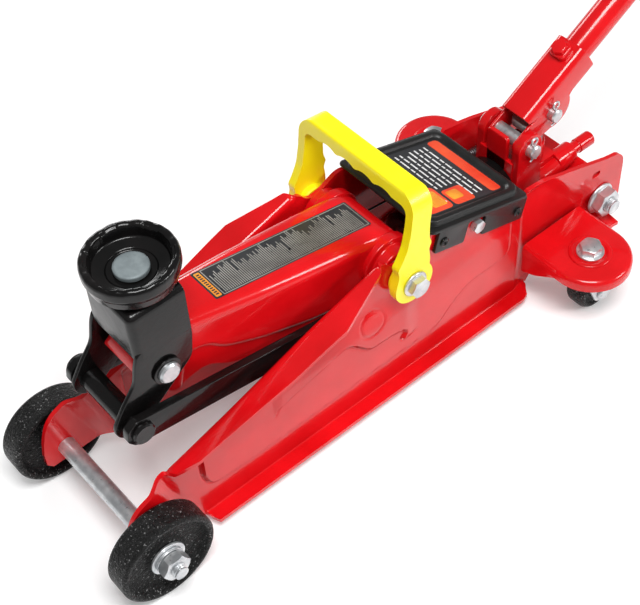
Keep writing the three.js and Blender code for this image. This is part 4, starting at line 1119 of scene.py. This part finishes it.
BAIL_HALF = 52.3
BAIL_CORNER = 14
BAIL_CORNER_Z = 57
LEG = rounded(
    arc(0, 0, 15.2, 40, -190, 30)
    + [(-13.6, 13), (-15.4, 17.5), (-12.6, 22.5), (-9.0, 32), (-7.8, 45), (-7.8, 71), (7.8, 71),
       (7.6, 45), (8.6, 33), (11.2, 28), (9.4, 24), (11.4, 15)], 3, 4)
OUTSIDE = [(-BAIL_HALF, -40)] + arc(BAIL_CORNER - BAIL_HALF, BAIL_CORNER_Z, BAIL_CORNER, 180, 90, 20)
OUTSIDE += arc(BAIL_HALF - BAIL_CORNER, BAIL_CORNER_Z, BAIL_CORNER, 90, 0, 20) + [(BAIL_HALF, -40)]
FINGER_DIPS = [point for step in (-1.5, -0.5, 0.5, 1.5) for point in arc(step * 17, 46.7, 15.4, 119, 61)]
WINDOW = rounded([(-46.3, -30), (-46.3, 60)] + FINGER_DIPS + [(46.3, 60), (46.3, -30)], 7, 8)
FOOT_BOSS = [(4.4, -47), (13, -47), (13, -43), (12.2, -42), (4.4, -42)]
BOLT_COLLAR = rounded([(0, 52.6), (9, 52.6), (9, 53.8), (7.6, 54.6), (0, 54.6)], 0.4, 3, closed=False)


def foot_boss():
    return lathe(FOOT_BOSS, Y_AXIS, PIVOT, closed=True)


bail = carve(slab(LEG, -BAIL_HALF, BAIL_HALF, XZ, 0.0), slab(OUTSIDE, -40, 40, YZ, 0.0), "INTERSECT")
bail = carve(bail, slab(WINDOW, -41, 41, YZ, 0.0), "DIFFERENCE")
piece("carry_handle_look", "bail", "yellow_plastic", [moved(bail, BAIL_FRAME)], ["carry_handle"],
      soften=2.2)
piece("bail_bosses_look", "bail", "yellow_plastic", [foot_boss(), moved(foot_boss(), MIRROR_Y)])
both_sides("carry_bolt", CHASSIS, "zinc",
           lambda: [hexagon(13, 54, 59.2, -Y_AXIS, PIVOT), lathe(BOLT_COLLAR, -Y_AXIS, PIVOT),
                    lathe(rod(4, 36, 53), -Y_AXIS, PIVOT)])

# ------ the frame's own node that stays in view

dress(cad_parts["plunger_spring"], "spring_steel", 0.2)

# ------ floor, light and camera

FLOOR = 6.0  # half its side, in metres
floor_look = surface(
    "pale_floor", (0.80, 0.80, 0.80), (0.83, 0.83, 0.83), 3, (0.5, 0.6), [(30, 0.02, 0.0005)])
floor_shader = floor_look.node_tree.nodes["Principled BSDF"]
floor_shader.inputs["Emission Color"].default_value = grey(1)
floor_shader.inputs["Emission Strength"].default_value = 0.22
floor_mesh = bpy.data.meshes.new("floor")
floor_corners = [(-FLOOR, -FLOOR, 0), (FLOOR, -FLOOR, 0), (FLOOR, FLOOR, 0), (-FLOOR, FLOOR, 0)]
floor_mesh.from_pydata(floor_corners, [], [(0, 1, 2, 3)])
floor = add_object("floor", floor_mesh)
floor.data.materials.append(floor_look)

scene = bpy.context.scene
world = bpy.data.worlds.new("studio")
world.use_nodes = True
world.node_tree.nodes["Background"].inputs["Color"].default_value = grey(1)
world.node_tree.nodes["Background"].inputs["Strength"].default_value = 0.24
scene.world = world
scene.view_settings.view_transform = "Standard"


def soft_box(name, place, target, size, power):
    """A rectangular lamp at a place in metres, turned to face its target."""
    light = bpy.data.lights.new(name, "AREA")
    light.shape = "RECTANGLE"
    light.size, light.size_y = size
    light.energy = power
    holder = add_object(name, light)
    holder.location = place
    holder.rotation_euler = (Vector(target) - Vector(place)).to_track_quat("-Z", "Y").to_euler()


soft_box("key", (-0.4, -0.5, 1.5), (-0.1, 0, 0.05), (0.7, 0.5), 22)
soft_box("fill", (0.85, -1.2, 0.85), (0, 0, 0.08), (0.55, 0.35), 11)
soft_box("back", (0.3, 1.7, 0.7), (0, 0, 0.08), (1.0, 0.4), 12)

TARGET = Vector((174.922, 0, 70.695))
AZIMUTH, ELEVATION, ROLL = (math.radians(a) for a in (-36.967, 49.215, -4.326))
DISTANCE = 885.792
level = math.cos(ELEVATION)
back = Vector((math.sin(AZIMUTH) * level, -math.cos(AZIMUTH) * level, math.sin(ELEVATION)))
right = Vector((math.cos(AZIMUTH), math.sin(AZIMUTH), 0))
up = back.cross(right)
rolled_right = right * math.cos(ROLL) + up * math.sin(ROLL)
rolled_up = up * math.cos(ROLL) - right * math.sin(ROLL)
lens = bpy.data.cameras.new("camera")
lens.lens = 77.37
lens.sensor_width = 36
lens.clip_start = 0.05
camera = add_object("camera", lens)
axes = Matrix((rolled_right, rolled_up, back)).transposed().to_4x4()
camera.matrix_world = Matrix.Translation(TO_FRAME @ (TARGET + back * DISTANCE)) @ axes
scene.camera = camera
